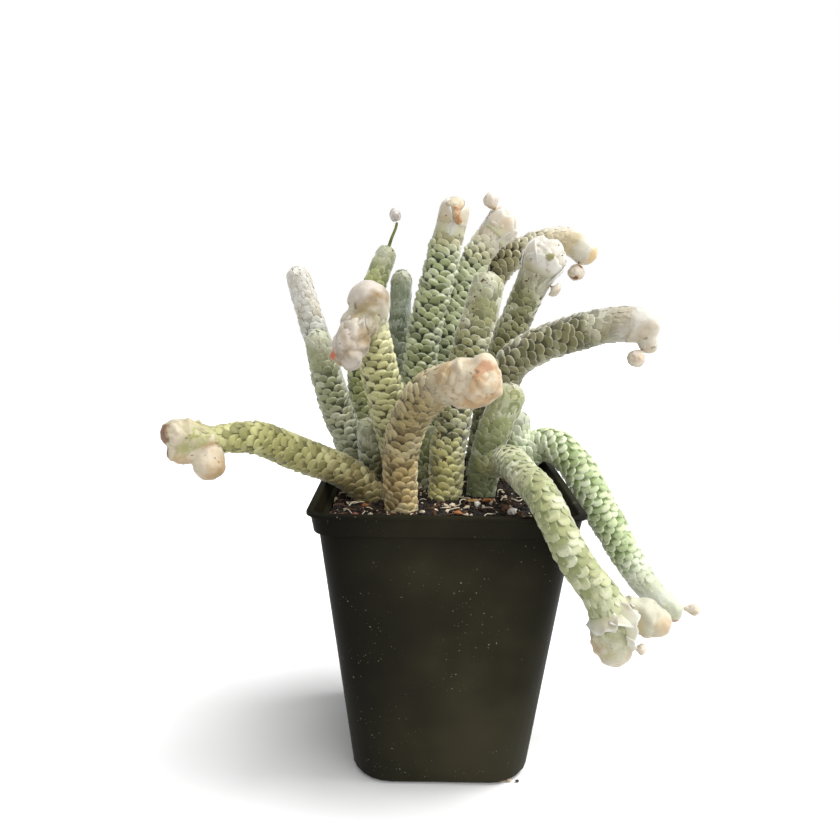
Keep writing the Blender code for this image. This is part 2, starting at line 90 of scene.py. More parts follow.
# A walk up a limb that ends this near to a tip has reached it.
NEAR_TIP = 3.5 * MM
# How far light passes into the plant, and how strongly plain stems and films
# catch it at their edges.
LIGHT_DEPTH = 0.8 * MM
STEM_SHEEN = 0.986
FILM_SHEEN = 1.0
# A level that the noise never reaches.
NO_SPOTS = 2.0

# How each stem is dressed. finish and paper name its colours. reach: how far,
# in mm, the old tan or brown scales reach up from the mix. relief: how far
# its scales stand out. tips: for the trunk and then each side limb, the kind
# of tip, then in mm the length of its smooth cap, the length over which the
# scales soften before it, and how far down from the tip the stem is pale.
# sheen: how strongly its edges catch the light. scars: for a limb, the size
# of the mark where a flower dropped and its place from the tip, in mm.
# folds: how deep the folds of its heads are.
# A plain tip is bare, a bulb is smooth and swollen and lobes are a swollen
# head with deep folds. A crest adds short films at its lower end, a sheath two
# films that close over it and an open head films that stand round it.
STEMS = {
    "stem_left_reach": {"finish": "olive", "paper": "peach", "reach": 26, "relief": 0.68,
                        "scars": {0: (7.5, (-1.0, -2.5, 0.0)), 2: (5.5, (-1.8, -1.5, -0.5))},
                        "sheen": 0.595, "folds": 1.1,
                        "tips": [("lobes", 12, 10, 14), ("bulb", 30, 9, 40), ("lobes", 30, 9, 40)]},
    "stem_left_tall": {"finish": "mist", "paper": "pearl", "reach": 8, "relief": 0.60,
                       "sheen": 0.51,
                       "tips": [("plain", 4, 22, 34)]},
    "stem_left_front": {"finish": "sage", "paper": "dewy", "reach": 8, "relief": 0.75,
                        "tips": [("plain", 5, 12, 12)]},
    "stem_left_stub": {"finish": "sage", "paper": "dewy", "reach": 9, "relief": 0.75,
                       "tips": [("plain", 4, 8, 8)]},
    "stem_nodding": {"finish": "fern", "paper": "lilac", "reach": 14, "relief": 0.85,
                     "scars": {1: (3.0, (-4.0, -1.5, 2.5))}, "sheen": 0.595,
                     "tips": [("bulb", 12, 6, 15), ("lobes", 14, 3, 30)]},
    "stem_flowering": {"finish": "lime", "paper": "dewy", "reach": 10, "relief": 0.75,
                       "tips": [("plain", 6, 12, 10)]},
    "stem_back_slim": {"finish": "dew", "paper": "dewy", "reach": 6, "relief": 0.55,
                       "tips": [("plain", 6, 22, 6)]},
    "stem_back_lean": {"finish": "sage", "paper": "dewy", "reach": 6, "relief": 0.80,
                       "tips": [("plain", 5, 12, 10)]},
    "stem_centre_tall": {"finish": "leaf", "paper": "bisque", "reach": 9, "relief": 1.0,
                         "tips": [("sheath", 10, 8, 20)]},
    "stem_centre_right": {"finish": "mint", "paper": "shell", "reach": 8, "relief": 0.9,
                          "tips": [("open", 8, 10, 24)]},
    "stem_club": {"finish": "stone", "paper": "dewy", "reach": 22, "relief": 0.85,
                  "tips": [("plain", 8, 14, 8)]},
    "stem_front_bowed": {"finish": "straw", "paper": "fawn", "reach": 22, "relief": 0.7,
                         "scars": {1: (6.5, (-0.5, -4.5, -3.5))}, "sheen": 0.34,
                         "tips": [("lobes", 15, 9, 26), ("bulb", 30, 9, 30)]},
    "stem_right_arched": {"finish": "husk", "paper": "cream", "reach": 8, "relief": 0.95,
                          "scars": {0: (4.8, (0.5, -3.0, 0.5))},
                          "tips": [("bulb", 13, 12, 32)]},
    "stem_right_open": {"finish": "stone", "paper": "pearl", "reach": 8, "relief": 0.65,
                        "scars": {0: (2.6, (-1.2, -5.6, -4.5))},
                        "tips": [("open", 10, 14, 18)]},
    "stem_right_reach": {"finish": "moss", "paper": "pearl", "reach": 9, "relief": 0.7,
                         "tips": [("bulb", 9, 16, 20), ("bulb", 30, 9, 30)]},
    "stem_inner_stub": {"finish": "leaf", "paper": "dewy", "reach": 5, "relief": 0.6,
                        "tips": [("plain", 4, 8, 4)]},
    "stem_forked_front": {"finish": "willow", "paper": "chalk", "reach": 31, "relief": 0.46,
                          "sheen": 1.0,
                          "tips": [("plain", 5, 12, 2), ("crest", 12, 8, 13),
                                   ("crest", 11, 5, 19)]},
    "stem_forked_right": {"finish": "spring", "paper": "frost", "reach": 9, "relief": 0.75,
                          "scars": {1: (3.5, (-1.5, -2.5, -2.5))}, "folds": 0.4, "sheen": 1.0,
                          "tips": [("plain", 5, 8, 8), ("lobes", 9, 18, 29)]},
}

# Colours of each finish, as seen in daylight: the face of a scale, its thin
# free rim, painted shade for the gaps and the scales' roots, and the old scales near the mix.
FINISH_PARTS = ("Face", "Rim", "Gap", "Old")
FINISHES = {
    "sage": ((0.62, 0.63, 0.48), (0.84, 0.84, 0.76), (0.20, 0.23, 0.11), (0.62, 0.56, 0.35)),
    "stone": ((0.60, 0.60, 0.42), (0.86, 0.86, 0.78), (0.18, 0.20, 0.08), (0.87, 0.85, 0.57)),
    "mist": ((0.73, 0.74, 0.70), (0.88, 0.88, 0.87), (0.32, 0.34, 0.25), (0.50, 0.45, 0.34)),
    "moss": ((0.49, 0.48, 0.33), (0.82, 0.81, 0.72), (0.22, 0.21, 0.11), (0.46, 0.40, 0.28)),
    "olive": ((0.63, 0.62, 0.38), (0.83, 0.82, 0.61), (0.31, 0.31, 0.11), (0.54, 0.48, 0.30)),
    "fern": ((0.77, 0.76, 0.54), (0.87, 0.86, 0.69), (0.31, 0.30, 0.11), (0.58, 0.52, 0.33)),
    "lime": ((0.68, 0.70, 0.46), (0.87, 0.88, 0.76), (0.28, 0.32, 0.11), (0.50, 0.45, 0.28)),
    "spring": ((0.80, 0.85, 0.66), (0.90, 0.92, 0.84), (0.42, 0.52, 0.24), (0.90, 0.96, 0.72)),
    "willow": ((0.69, 0.70, 0.50), (0.86, 0.87, 0.77), (0.34, 0.40, 0.16), (0.52, 0.55, 0.40)),
    "leaf": ((0.67, 0.70, 0.51), (0.87, 0.89, 0.79), (0.16, 0.23, 0.08), (0.52, 0.48, 0.29)),
    "mint": ((0.83, 0.86, 0.69), (0.88, 0.89, 0.80), (0.20, 0.27, 0.12), (0.52, 0.48, 0.29)),
    "dew": ((0.58, 0.61, 0.51), (0.78, 0.81, 0.79), (0.28, 0.33, 0.25), (0.42, 0.42, 0.32)),
    "straw": ((0.60, 0.54, 0.35), (0.80, 0.76, 0.61), (0.26, 0.19, 0.07), (0.82, 0.71, 0.47)),
    "husk": ((0.63, 0.61, 0.45), (0.86, 0.83, 0.73), (0.24, 0.22, 0.11), (0.46, 0.40, 0.27)),
}

# How many brown specks a finish has.
SPECKS = {"straw": 0.6, "olive": 0.6, "moss": 0.5, "stone": 1.0}
PLAIN_SPECKS = 0.45

# Colours of the papery heads: the paper, its warmer patches and its undersides,
# which are partly painted shade, the folds between its lobes, also partly painted
# shade, and the scar at its tip.
PAPER_PARTS = ("Paper", "Blush", "Seam", "Scar")
PAPERS = {
    "pearl": ((0.87, 0.85, 0.81), (0.80, 0.75, 0.66), (0.62, 0.60, 0.46), (0.52, 0.50, 0.24)),
    "lilac": ((0.78, 0.74, 0.70), (0.58, 0.49, 0.36), (0.34, 0.27, 0.15), (0.72, 0.38, 0.22)),
    "dewy": ((0.76, 0.76, 0.67), (0.66, 0.66, 0.52), (0.44, 0.46, 0.29), (0.45, 0.36, 0.22)),
    "peach": ((0.80, 0.75, 0.67), (0.72, 0.60, 0.45), (0.58, 0.59, 0.32), (0.42, 0.25, 0.10)),
    "fawn": ((0.84, 0.79, 0.69), (0.76, 0.63, 0.47), (0.64, 0.52, 0.37), (0.72, 0.54, 0.40)),
    "cream": ((0.88, 0.86, 0.80), (0.82, 0.76, 0.62), (0.55, 0.50, 0.34), (0.83, 0.72, 0.52)),
    "bisque": ((0.81, 0.78, 0.70), (0.76, 0.68, 0.54), (0.55, 0.50, 0.34), (0.40, 0.24, 0.12)),
    "shell": ((0.87, 0.83, 0.77), (0.81, 0.72, 0.59), (0.62, 0.52, 0.36), (0.40, 0.24, 0.12)),
    "chalk": ((0.79, 0.78, 0.70), (0.77, 0.68, 0.56), (0.70, 0.67, 0.50), (0.60, 0.36, 0.18)),
    "frost": ((0.80, 0.81, 0.75), (0.75, 0.75, 0.64), (0.60, 0.62, 0.44), (0.66, 0.42, 0.24)),
}


# ------------------------------------------------------------ the settings

def length(name, default, text, high=0.2):
    return FloatProperty(name=name, description=text, default=default, min=0.0, max=high,
                         subtype="DISTANCE", unit="LENGTH", precision=5)


def share(name, default, text):
    """A size from none to all."""
    return FloatProperty(name=name, description=text, default=default, min=0.0, max=1.0,
                         subtype="FACTOR")


def amount(name, default, text):
    return FloatProperty(name=name, description=text, default=default, min=0.0)


def angle(name, degrees, text):
    return FloatProperty(name=name, description=text, default=math.radians(degrees),
                         subtype="ANGLE")


def number(name, default, text, low=0):
    return IntProperty(name=name, description=text, default=default, min=low)


def colour(name, default, text):
    return FloatVectorProperty(name=name, description=text, default=default, size=3,
                               min=0.0, max=1.0, subtype="COLOR_GAMMA")


class AvoniaStemSettings(bpy.types.PropertyGroup):
    """Sizes of the scales and of the papery heads."""
    row_pitch: length("Row Pitch", 0.0021, "Distance between rows of scales along a stem")
    scale_width: length("Scale Width", 0.0030, "Width of one scale on a stem of full girth")
    scale_rise: length("Scale Rise", 0.00105, "How far a scale stands off its seat")
    overlap: amount("Overlap", 1.65, "Length of a scale, as a number of rows")
    sidelap: amount("Side Lap", 1.14, "Width of a scale, as a share of its place in the row")
    loose: share("Loose Scales", 0.04, "Share of scales whose free edge stands up")
    uneven: share("Unevenness", 0.20, "How far scales stray from their even places")
    seat: length("Seat", 0.00095, "How far below the stem's girth the scales sit")
    tilt: angle("Tilt", 16, "How far the free edge of a scale leans out")
    skin: length("Skin", 0.00085, "How far below the scales' seats the bare skin lies")
    crumple: share("Crumple", 0.05, "How far the bare skin crumples where its scales are low")
    film: length("Film", 0.0003, "Thickness of the papery films on the heads")
    lumps: length("Lumps", 0.00080, "Height of the soft lumps on the heads")
    lobe: length("Lobe", 0.0066, "Typical width of a soft lobe on the heads")
    fine: length("Fineness", 0.00048, "Size of the smallest facet on the heads")
    seed: number("Seed", 7, "Fixes everything random on the stems")


class AvoniaMixSettings(bpy.types.PropertyGroup):
    """Sizes and colours of the potting mix."""
    grain: length("Grain", 0.0011, "Typical size of a grain")
    spacing: length("Spacing", 0.00085, "Least distance between grains")
    fibres: number("Fibres", 260, "Number of loose fibres")
    peat: colour("Peat", (0.14, 0.11, 0.09), "Colour of the damp grains")
    crumb: colour("Crumb", (0.38, 0.27, 0.19), "Colour of the drier crumbs")
    grit: colour("Grit", (0.86, 0.80, 0.70), "Colour of the palest grains")
    seed: number("Seed", 11, "Fixes everything random in the mix")


class AvoniaPotSettings(bpy.types.PropertyGroup):
    """Colours and edges of the pot."""
    plastic: colour("Plastic", (0.030, 0.027, 0.020), "Colour of the moulded plastic")
    # the veil is dust and painted light: the plastic is lighter in the middle of each wall
    veil: colour("Veil", (0.22, 0.21, 0.15), "Colour of the plastic under a veil of dust")
    crease: angle("Crease", 32, "Edges that turn by more than this stay sharp")
    dust: colour("Dust", (0.62, 0.60, 0.52), "Colour of the lime specks and scuffs")


class AvoniaStageSettings(bpy.types.PropertyGroup):
    """Floor, light and camera."""
    floor: length("Floor", 3.0, "Side of the floor", high=20.0)
    fill: amount("Fill", 0.42, "Strength of the even light from all round")
    bounce: share("Bounce", 0.68, "How much light the floor throws back onto the plant")
    room: amount("Room", 2.4, "Strength of the broad light from the front right")
    breadth: angle("Breadth", 110, "How broad the light from the front right is")
    window: amount("Window", 3.0, "Strength of the tall window on the right")
    height: angle("Height", 67, "How high the middle of the window stands")
    strips: number("Strips", 3, "Lamps that make up the tall window", low=1)
    strip: angle("Strip", 14, "Height of one strip of the window")
    stand: FloatVectorProperty(name="Camera Place", description="Where the camera stands",
                               default=(-0.007, -0.212, 0.137), size=3,
                               subtype="TRANSLATION", unit="LENGTH", precision=4)
    lens: amount("Lens", 32.57, "Focal length of the camera, in mm on a 36 mm frame")
    pitch: angle("Pitch", 79.44, "How far the camera is raised from looking straight down")
    roll: angle("Roll", 0.8, "How far the camera is rolled")


# ---------------------------------------------------------- node tree tools

def feed(tree, socket, value):
    """Link an output to a socket, or set the socket; a plain colour is (r, g, b)."""
    if isinstance(value, bpy.types.NodeSocket):
        tree.links.new(value, socket)
    elif socket.type == "RGBA":
        socket.default_value = (*value, 1.0)
    else:
        socket.default_value = value


def add(tree, kind, feeds=None, **settings):
    """Add a node. feeds gives its inputs by name or number: a value or an output."""
    made = tree.nodes.new(kind)
    for key, value in settings.items():
        setattr(made, key, value)
    for key, value in (feeds or {}).items():
        feed(tree, made.inputs[key], value)
    return made


def maths(tree, operation, *values, clamp=False):
    return add(tree, "ShaderNodeMath", dict(enumerate(values)),
               operation=operation, use_clamp=clamp).outputs[0]


def times(tree, first, *others):
    """The product of several values."""
    for value in others:
        first = maths(tree, "MULTIPLY", first, value)
    return first


def plus(tree, value, factor, base):
    """value times factor, plus base."""
    return maths(tree, "MULTIPLY_ADD", value, factor, base)


def vectors(tree, operation, first, second=None):
    """Vector maths; SCALE takes a vector and a number, NORMALIZE a vector alone."""
    feeds = {0: first}
    if second is not None:
        feeds["Scale" if operation == "SCALE" else 1] = second
    return add(tree, "ShaderNodeVectorMath", feeds, operation=operation).outputs[0]


def fade(tree, value, low, high, to_low=0.0, to_high=1.0):
    """A smooth change from to_low to to_high while value goes from low to high."""
    made = add(tree, "ShaderNodeMapRange", {"Value": value, "From Min": low, "From Max": high,
                                            "To Min": to_low, "To Max": to_high},
               interpolation_type="SMOOTHSTEP")
    return made.outputs["Result"]


def blend(tree, factor, first, second, how="MIX"):
    """Mix two colours."""
    return add(tree, "ShaderNodeMix", {0: factor, 6: first, 7: second}, data_type="RGBA",
               blend_type=how, clamp_factor=True).outputs[2]


def daylight(shade):
    """A display colour as the linear values that shaders take."""
    return tuple(c / 12.92 if c <= 0.04045 else ((c + 0.055) / 1.055) ** 2.4 for c in shade)


def group(name, inputs, outputs):
    """An empty shader group with named sockets."""
    tree = bpy.data.node_groups.new(name, "ShaderNodeTree")
    kinds = {"colour": "NodeSocketColor", "value": "NodeSocketFloat", "vector": "NodeSocketVector"}
    for label, kind, default in inputs:
        made = tree.interface.new_socket(label, in_out="INPUT", socket_type=kinds[kind])
        made.default_value = (*default, 1.0) if kind == "colour" else default
    for label, kind in outputs:
        tree.interface.new_socket(label, in_out="OUTPUT", socket_type=kinds[kind])
    return tree, add(tree, "NodeGroupInput").outputs, add(tree, "NodeGroupOutput").inputs


def shared(tree, name, build, feeds):
    """Place a shared group in a tree, built the first time it is asked for."""
    found = bpy.data.node_groups.get(name) or build(name)
    return add(tree, "ShaderNodeGroup", feeds, node_tree=found).outputs


def material(name, roughness=0.6):
    """A new material; gives its tree and its Principled shader."""
    made = bpy.data.materials.new(name)
    made.use_nodes = True
    shader = made.node_tree.nodes["Principled BSDF"]
    shader.inputs["Roughness"].default_value = roughness
    return made, made.node_tree, shader


def finish_bump(tree, shader, height, strength, depth):
    """Fine relief on a material, depth metres deep."""
    bump = add(tree, "ShaderNodeBump", {"Height": height, "Strength": strength, "Distance": depth})
    tree.links.new(bump.outputs["Normal"], shader.inputs["Normal"])


def attribute(tree, name):
    """A number that the mesh carries at its corners."""
    return add(tree, "ShaderNodeAttribute", attribute_name=name).outputs["Fac"]


# ------------------------------------------------------------ shared effects

def mottle_group(name):
    """Noise in the object's own space."""
    tree, given, result = group(
        name, [("Per Metre", "value", 100.0), ("Detail", "value", 3.0),
               ("Roughness", "value", 0.55), ("Offset", "vector", (0.0, 0.0, 0.0))],
        [("Mottle", "value")])
    place = add(tree, "ShaderNodeTexCoord").outputs["Object"]
    place = add(tree, "ShaderNodeMapping", {"Vector": place, "Location": given["Offset"]})
    cloud = add(tree, "ShaderNodeTexNoise",
                {"Vector": place.outputs[0], "Scale": given["Per Metre"],
                 "Detail": given["Detail"], "Roughness": given["Roughness"]})
    tree.links.new(cloud.outputs[0], result["Mottle"])
    return tree


def mottle(tree, per_metre, detail=3.0, rough=0.55, offset=(0, 0, 0)):
    """Place the shared noise; per_metre sets how fine it is."""
    feeds = {"Per Metre": per_metre, "Detail": detail, "Roughness": rough, "Offset": offset}
    return shared(tree, "mottle", mottle_group, feeds)[0]


def scar_group(name):
    """Where a flower dropped: a mark with a ragged edge, from the scar attribute."""
    tree, given, result = group(name, [("Strength", "value", 0.9)], [("Mask", "value")])
    ragged = plus(tree, mottle(tree, 500.0, 2.0), 0.6, attribute(tree, "scar"))
    tree.links.new(fade(tree, ragged, 0.62, 0.88, 0.0, given["Strength"]), result["Mask"])
    return tree


def scar_mask(tree, strength=0.9):
    """Place the shared scar mark."""
    return shared(tree, "scar_mark", scar_group, {"Strength": strength})[0]


def scale_group(name):
    """Colour of a scale from its attributes: rim, rise, tone, paper and skin; painted shade at
    roots, gaps, folds and undersides.
    """
    tree, given, result = group(
        name,
        [("Face", "colour", (0.3, 0.4, 0.2)), ("Rim", "colour", (0.8, 0.8, 0.7)),
         ("Gap", "colour", (0.1, 0.15, 0.05)), ("Old", "colour", (0.3, 0.2, 0.1)),
         ("Paper", "colour", (0.85, 0.8, 0.75)), ("Blush", "colour", (0.8, 0.6, 0.4)),
         ("Seam", "colour", (0.5, 0.4, 0.2)), ("Scar", "colour", (0.4, 0.2, 0.1)),
         ("Reach", "value", 0.01), ("Specks", "value", 0.5)],
        [("Colour", "colour"), ("Roughness", "value"), ("Height", "value")])
    tone = attribute(tree, "tone")
    soft = fade(tree, attribute(tree, "relief"), 0.25, 0.9, 1.0, 0.0)
    patches = mottle(tree, 95.0, 2.0)
    grain = mottle(tree, 1500.0, 3.0)
    # old scales near the mix, with a ragged upper limit
    ragged = plus(tree, maths(tree, "SUBTRACT", patches, 0.5), 0.02, attribute(tree, "rise"))
    ragged = plus(tree, maths(tree, "SUBTRACT", tone, 0.5), 0.006, ragged)
    worn = fade(tree, maths(tree, "DIVIDE", ragged, given["Reach"]), 0.25, 1.05, 1.0, 0.0)
    face = blend(tree, worn, given["Face"], given["Old"])
    # some scales are greener, drawn at random towards the gap shade colour, some chalkier
    green = fade(tree, tone, 0.50, 1.0, 0.0, 0.55)
    face = blend(tree, green, face, given["Gap"])
    chalk = plus(tree, maths(tree, "SUBTRACT", 0.5, tone), 0.25, patches)
    face = blend(tree, fade(tree, chalk, 0.46, 0.72, 0.0, 0.60), face, given["Rim"])
    # the dry, pale ends, warmer in patches, and warmer and darker on their undersides, partly
    # painted shade
    warm = maths(tree, "ADD", mottle(tree, 150.0, 2.0, 0.5, (2, 5, 1)),
                 plus(tree, attribute(tree, "under"), 0.30, -0.15))
    dry = blend(tree, fade(tree, warm, 0.42, 0.68), given["Paper"], given["Blush"])
    face = blend(tree, times(tree, attribute(tree, "paper"), 0.95), face, dry)
    # the pale rim of a scale, and its root painted dark as the shade under the row below, both
    # fainter where it is soft
    crisp = plus(tree, soft, -0.85, 1.0)
    edge = times(tree, fade(tree, attribute(tree, "rim"), 0.35, 1.0, 0.0, 0.50),
                 plus(tree, worn, -0.55, 1.0), crisp)
    shade = blend(tree, edge, face, given["Rim"])
    gap_shade = blend(tree, times(tree, worn, 0.35), given["Gap"], given["Old"])
    root = times(tree, fade(tree, attribute(tree, "root"), 0.0, 1.0, 0.0, 0.95), crisp)
    shade = blend(tree, root, shade, gap_shade)
    # the bare skin between the scales, painted dark as shade where the scales stand out
    gap_shade = blend(tree, times(tree, soft, 0.92), gap_shade, face)
    shade = blend(tree, attribute(tree, "skin"), shade, gap_shade)
    # folds between the lobes of a head, tinted and partly painted dark as shade, and the dark scar
    # where a flower dropped
    seam = times(tree, attribute(tree, "seam"), fade(tree, patches, 0.30, 0.60, 0.35, 0.9))
    shade = blend(tree, seam, shade, given["Seam"])
    shade = blend(tree, scar_mask(tree), shade, given["Scar"])
    # small brown specks, mostly on the older scales
    specks = plus(tree, given["Specks"], 0.05, mottle(tree, 780.0, 1.0, 0.5, (3, 1, 7)))
    specks = maths(tree, "MULTIPLY", fade(tree, specks, 0.72, 0.765), given["Specks"], clamp=True)
    shade = blend(tree, specks, shade, daylight((0.36, 0.25, 0.15)))
    grey = blend(tree, grain, (0.0, 0.0, 0.0), (1.0, 1.0, 1.0))
    shade = blend(tree, 0.18, shade, grey, "OVERLAY")
    tree.links.new(shade, result["Colour"])
    tree.links.new(fade(tree, grain, 0.3, 0.7, 0.5, 0.75), result["Roughness"])
    tree.links.new(grain, result["Height"])
    return tree


def tint_group(name):
    """Two natural colours in patches, with sparse spots of a third and fine relief."""
    tree, given, result = group(
        name, [("Light", "colour", (0.8, 0.8, 0.8)), ("Dark", "colour", (0.4, 0.4, 0.4)),
               ("Spot", "colour", (0.2, 0.2, 0.2)), ("Per Metre", "value", 500.0),
               ("Low", "value", 0.4), ("High", "value", 0.62), ("Spot Level", "value", 0.7)],
        [("Colour", "colour"), ("Height", "value")])
    per_metre = given["Per Metre"]
    patch = fade(tree, mottle(tree, per_metre, 4.0, 0.6), given["Low"], given["High"])
    shade = blend(tree, patch, given["Light"], given["Dark"])
    spot = mottle(tree, times(tree, per_metre, 0.8), 1.0, 0.4, (4, 9, 2))
    level = given["Spot Level"]
    spot = fade(tree, spot, level, maths(tree, "ADD", level, 0.04))
    tree.links.new(blend(tree, spot, shade, given["Spot"]), result["Colour"])
    tree.links.new(mottle(tree, times(tree, per_metre, 2.2), 4.0, 0.6), result["Height"])
    return tree


# ------------------------------------------------------------------ finishes

def plant_shader(shader, sheen):
    """Thin living tissue: a little light passes in, and the edges catch it."""
    shader.inputs["Sheen Weight"].default_value = sheen
    shader.inputs["Sheen Roughness"].default_value = 0.38
    shader.inputs["Subsurface Weight"].default_value = 0.15
    shader.inputs["Subsurface Radius"].default_value = (1.0, 0.9, 0.6)
    shader.inputs["Subsurface Scale"].default_value = LIGHT_DEPTH


def scales_material(style):
    """The skin, scales and swollen heads of a stem."""
    finish, paper, reach = style["finish"], style["paper"], style["reach"]
    name = "scales_" + finish + "_" + paper + "_" + str(reach)
    found = bpy.data.materials.get(name)
    if found:
        return found
    made, tree, shader = material(name)
    colours = zip((*FINISH_PARTS, *PAPER_PARTS), (*FINISHES[finish], *PAPERS[paper]))
    feeds = {label: daylight(shade) for label, shade in colours}
    feeds["Reach"] = reach * MM
    feeds["Specks"] = SPECKS.get(finish, PLAIN_SPECKS)
    skin = shared(tree, "scale_colour", scale_group, feeds)
    tree.links.new(skin["Colour"], shader.inputs["Base Color"])
    tree.links.new(skin["Roughness"], shader.inputs["Roughness"])
    plant_shader(shader, style.get("sheen", STEM_SHEEN))
    finish_bump(tree, shader, skin["Height"], 0.35, 0.2 * MM)
    return made


def paper_material(style):
    """Dry, thin, slightly crumpled films of the heads."""
    name = "paper_" + style["paper"] + "_" + style["finish"]
    found = bpy.data.materials.get(name)
    if found:
        return found
    made, tree, shader = material(name, 0.55)
    base, blush, _, scar = (daylight(shade) for shade in PAPERS[style["paper"]])
    leafy = daylight(FINISHES[style["finish"]][0])
    patches = mottle(tree, 120.0, 2.0, 0.5, (2, 5, 1))
    shade = blend(tree, fade(tree, patches, 0.42, 0.72, 0.0, 0.8), base, blush)
    # some films are greener, and all are at their base
    green = fade(tree, attribute(tree, "tone"), 0.72, 1.0, 0.0, 0.35)
    shade = blend(tree, green, shade, leafy)
    shade = blend(tree, times(tree, attribute(tree, "base"), 0.6), shade, leafy)
    rim = fade(tree, attribute(tree, "rim"), 0.3, 1.0, 0.0, 0.8)
    shade = blend(tree, rim, shade, daylight((0.88, 0.88, 0.85)))
    specks = fade(tree, mottle(tree, 400.0, 1.0, 0.4, (8, 2, 4)), 0.72, 0.76)
    shade = blend(tree, times(tree, specks, 0.8), shade, daylight((0.50, 0.30, 0.16)))
    shade = blend(tree, scar_mask(tree), shade, scar)
    tree.links.new(shade, shader.inputs["Base Color"])
    plant_shader(shader, FILM_SHEEN)
    finish_bump(tree, shader, mottle(tree, 330.0, 4.0, 0.6), 0.3, 0.3 * MM)
    return made


def tinted_material(name, light, dark, per_metre, roughness=0.6, bump=0.4, low=0.4, high=0.62,
                    spot=None, spot_level=0.7):
    """A natural finish: two colours in patches, with fine relief bump mm deep."""
    made, tree, shader = material(name, roughness)
    feeds = {"Light": daylight(light), "Dark": daylight(dark), "Per Metre": per_metre,
             "Low": low, "High": high, "Spot Level": spot_level if spot else NO_SPOTS}
    if spot:
        feeds["Spot"] = daylight(spot)
    tint = shared(tree, "tint", tint_group, feeds)
    tree.links.new(tint["Colour"], shader.inputs["Base Color"])
    finish_bump(tree, shader, tint["Height"], 0.5, bump * MM)
    return made


# --------------------------------------------------- reading the solid stems

def merged(node):
    """A clean copy of a solid's mesh, with its corners joined."""
    mesh = bmesh.new()
    mesh.from_mesh(NODES[node].data)
    bmesh.ops.remove_doubles(mesh, verts=mesh.verts, dist=2e-6)
    mesh.normal_update()
    return mesh


def tips_of(mesh):
    """The rounded ends of a stem, from the lowest, each with the way it faces."""
    found = []
    for vert in mesh.verts:
        spans = [edge.calc_length() for edge in vert.link_edges]
        if len(spans) == TIP_EDGES and max(spans) < TIP_EVENNESS * min(spans):
            found.append((vert.co.copy(), vert.normal.copy()))
    return sorted(found, key=lambda item: item[0].z)


def girth_at(tree, centre, axis, expected):
    """Fit a circle to the wall round a point, leaving out other limbs' walls."""
    side = axis.orthogonal().normalized()
    across = axis.cross(side)
    # a wall counts if it is about as far off as the last one, and most must count
    rays, enough, unlike = 24, 8, 0.22
    hits = []
    for k in range(rays):
        turn = math.tau * k / rays
        way = Vector((math.cos(turn), math.sin(turn)))
        place, _, _, reach = tree.ray_cast(centre, side * way.x + across * way.y)
        if place is not None and (not expected or abs(reach - expected) < unlike * expected):
            hits.append((reach, way))
    if len(hits) < enough:
        return None
    mean = sum(reach for reach, _ in hits) / len(hits)
    middle = sum((way for _, way in hits), Vector((0, 0))) / len(hits)
    spread = Matrix(((0, 0), (0, 0)))
    pull = Vector((0, 0))
    for reach, way in hits:
        w = way - middle
        spread += Matrix(((w.x * w.x, w.x * w.y), (w.x * w.y, w.y * w.y)))
        pull += w * (reach - mean)
    size = spread[0][0] + spread[1][1]
    shift = Vector((0, 0))
    # walls on one side alone don't fix the middle
    if spread.determinant() > 0.005 * size * size:
        shift = spread.inverted() @ pull
    return centre + side * shift.x + across * shift.y, mean - shift.dot(middle)


def follow(tree, start, way, parents=(), settle=7):
    """Walk up the middle of a limb; stops in a parent limb or near its far end.

    The girth is found afresh for the first few steps and then changes slowly."""
    step = 1.0 * MM
    most_steps = 300
    axis = way.normalized()
    centre = start + axis * 0.6 * step
    radius = 0.0
    path = []
    while len(path) < most_steps:
        fit = girth_at(tree, centre, axis, radius if len(path) > settle else 0.0)
        if fit:
            drift = fit[0] - centre
            if drift.length > 0.8 * step:
                drift *= 0.8 * step / drift.length
            centre = centre + drift
            if len(path) <= settle:
                radius = fit[1]
            else:
                radius += max(-0.2 * step, min(0.2 * step, fit[1] - radius))
        path.append((centre.copy(), radius))
        for parent in parents:
            near = min(parent, key=lambda item: (item[0] - centre).length)
            if (near[0] - centre).length < 0.5 * near[1]:
                return path + [near]
        if len(path) > 4:
            trend = path[-1][0] - path[-5][0]
            axis = (axis * 0.6 + trend.normalized() * 0.4).normalized()
        ahead = tree.ray_cast(centre, axis)
        if ahead[0] is not None and ahead[3] < 1.2 * step:
            path.append((ahead[0].copy(), radius))
            return path
        centre = centre + axis * step
    return path


def limbs_of(node):
    """Middle lines and girths of a stem's limbs, from foot to tip: trunk first."""
    mesh = merged(node)
    tree = BVHTree.FromBMesh(mesh)
    ring = [v.co for v in mesh.verts
            if abs(v.co.z - FOOT_LEVEL) < 0.4 * MM
            and abs(v.co.y) < POT_HIGH.y and abs(v.co.x) < POT_HIGH.x - 8 * MM]
    foot = sum(ring, Vector()) / len(ring)
    paths = [follow(tree, foot, Vector((0, 0, 1)), settle=2)]
    tips = tips_of(mesh)
    end = min((tip for tip, _ in tips), key=lambda tip: (tip - paths[0][-1][0]).length)
    if (end - paths[0][-1][0]).length < NEAR_TIP:
        paths[0][-1] = (end, paths[0][-1][1])
    for tip, normal in tips:
        if all((tip - path[-1][0]).length > NEAR_TIP for path in paths):
            paths.append(follow(tree, tip, -normal, paths)[::-1])
    mesh.free()
    return [smooth_path(path) for path in paths]


def eased(values):
    """Draws each value halfway to its neighbours; the two ends stay."""
    inner = [(a + b * 2 + c) / 4 for a, b, c in zip(values, values[1:], values[2:])]
    return [values[0], *inner, values[-1]]


def smooth_path(path):
    """Even out the walk's small steps, keeping its two ends."""
    places = [place for place, _ in path]
    girths = [girth for _, girth in path]
    least = 0.6 * sorted(girths)[len(girths) // 2]
    girths = [max(least, girth) for girth in girths]
    for _ in range(3):
        places = eased(places)
        girths = eased(girths)
    return list(zip(places, girths))


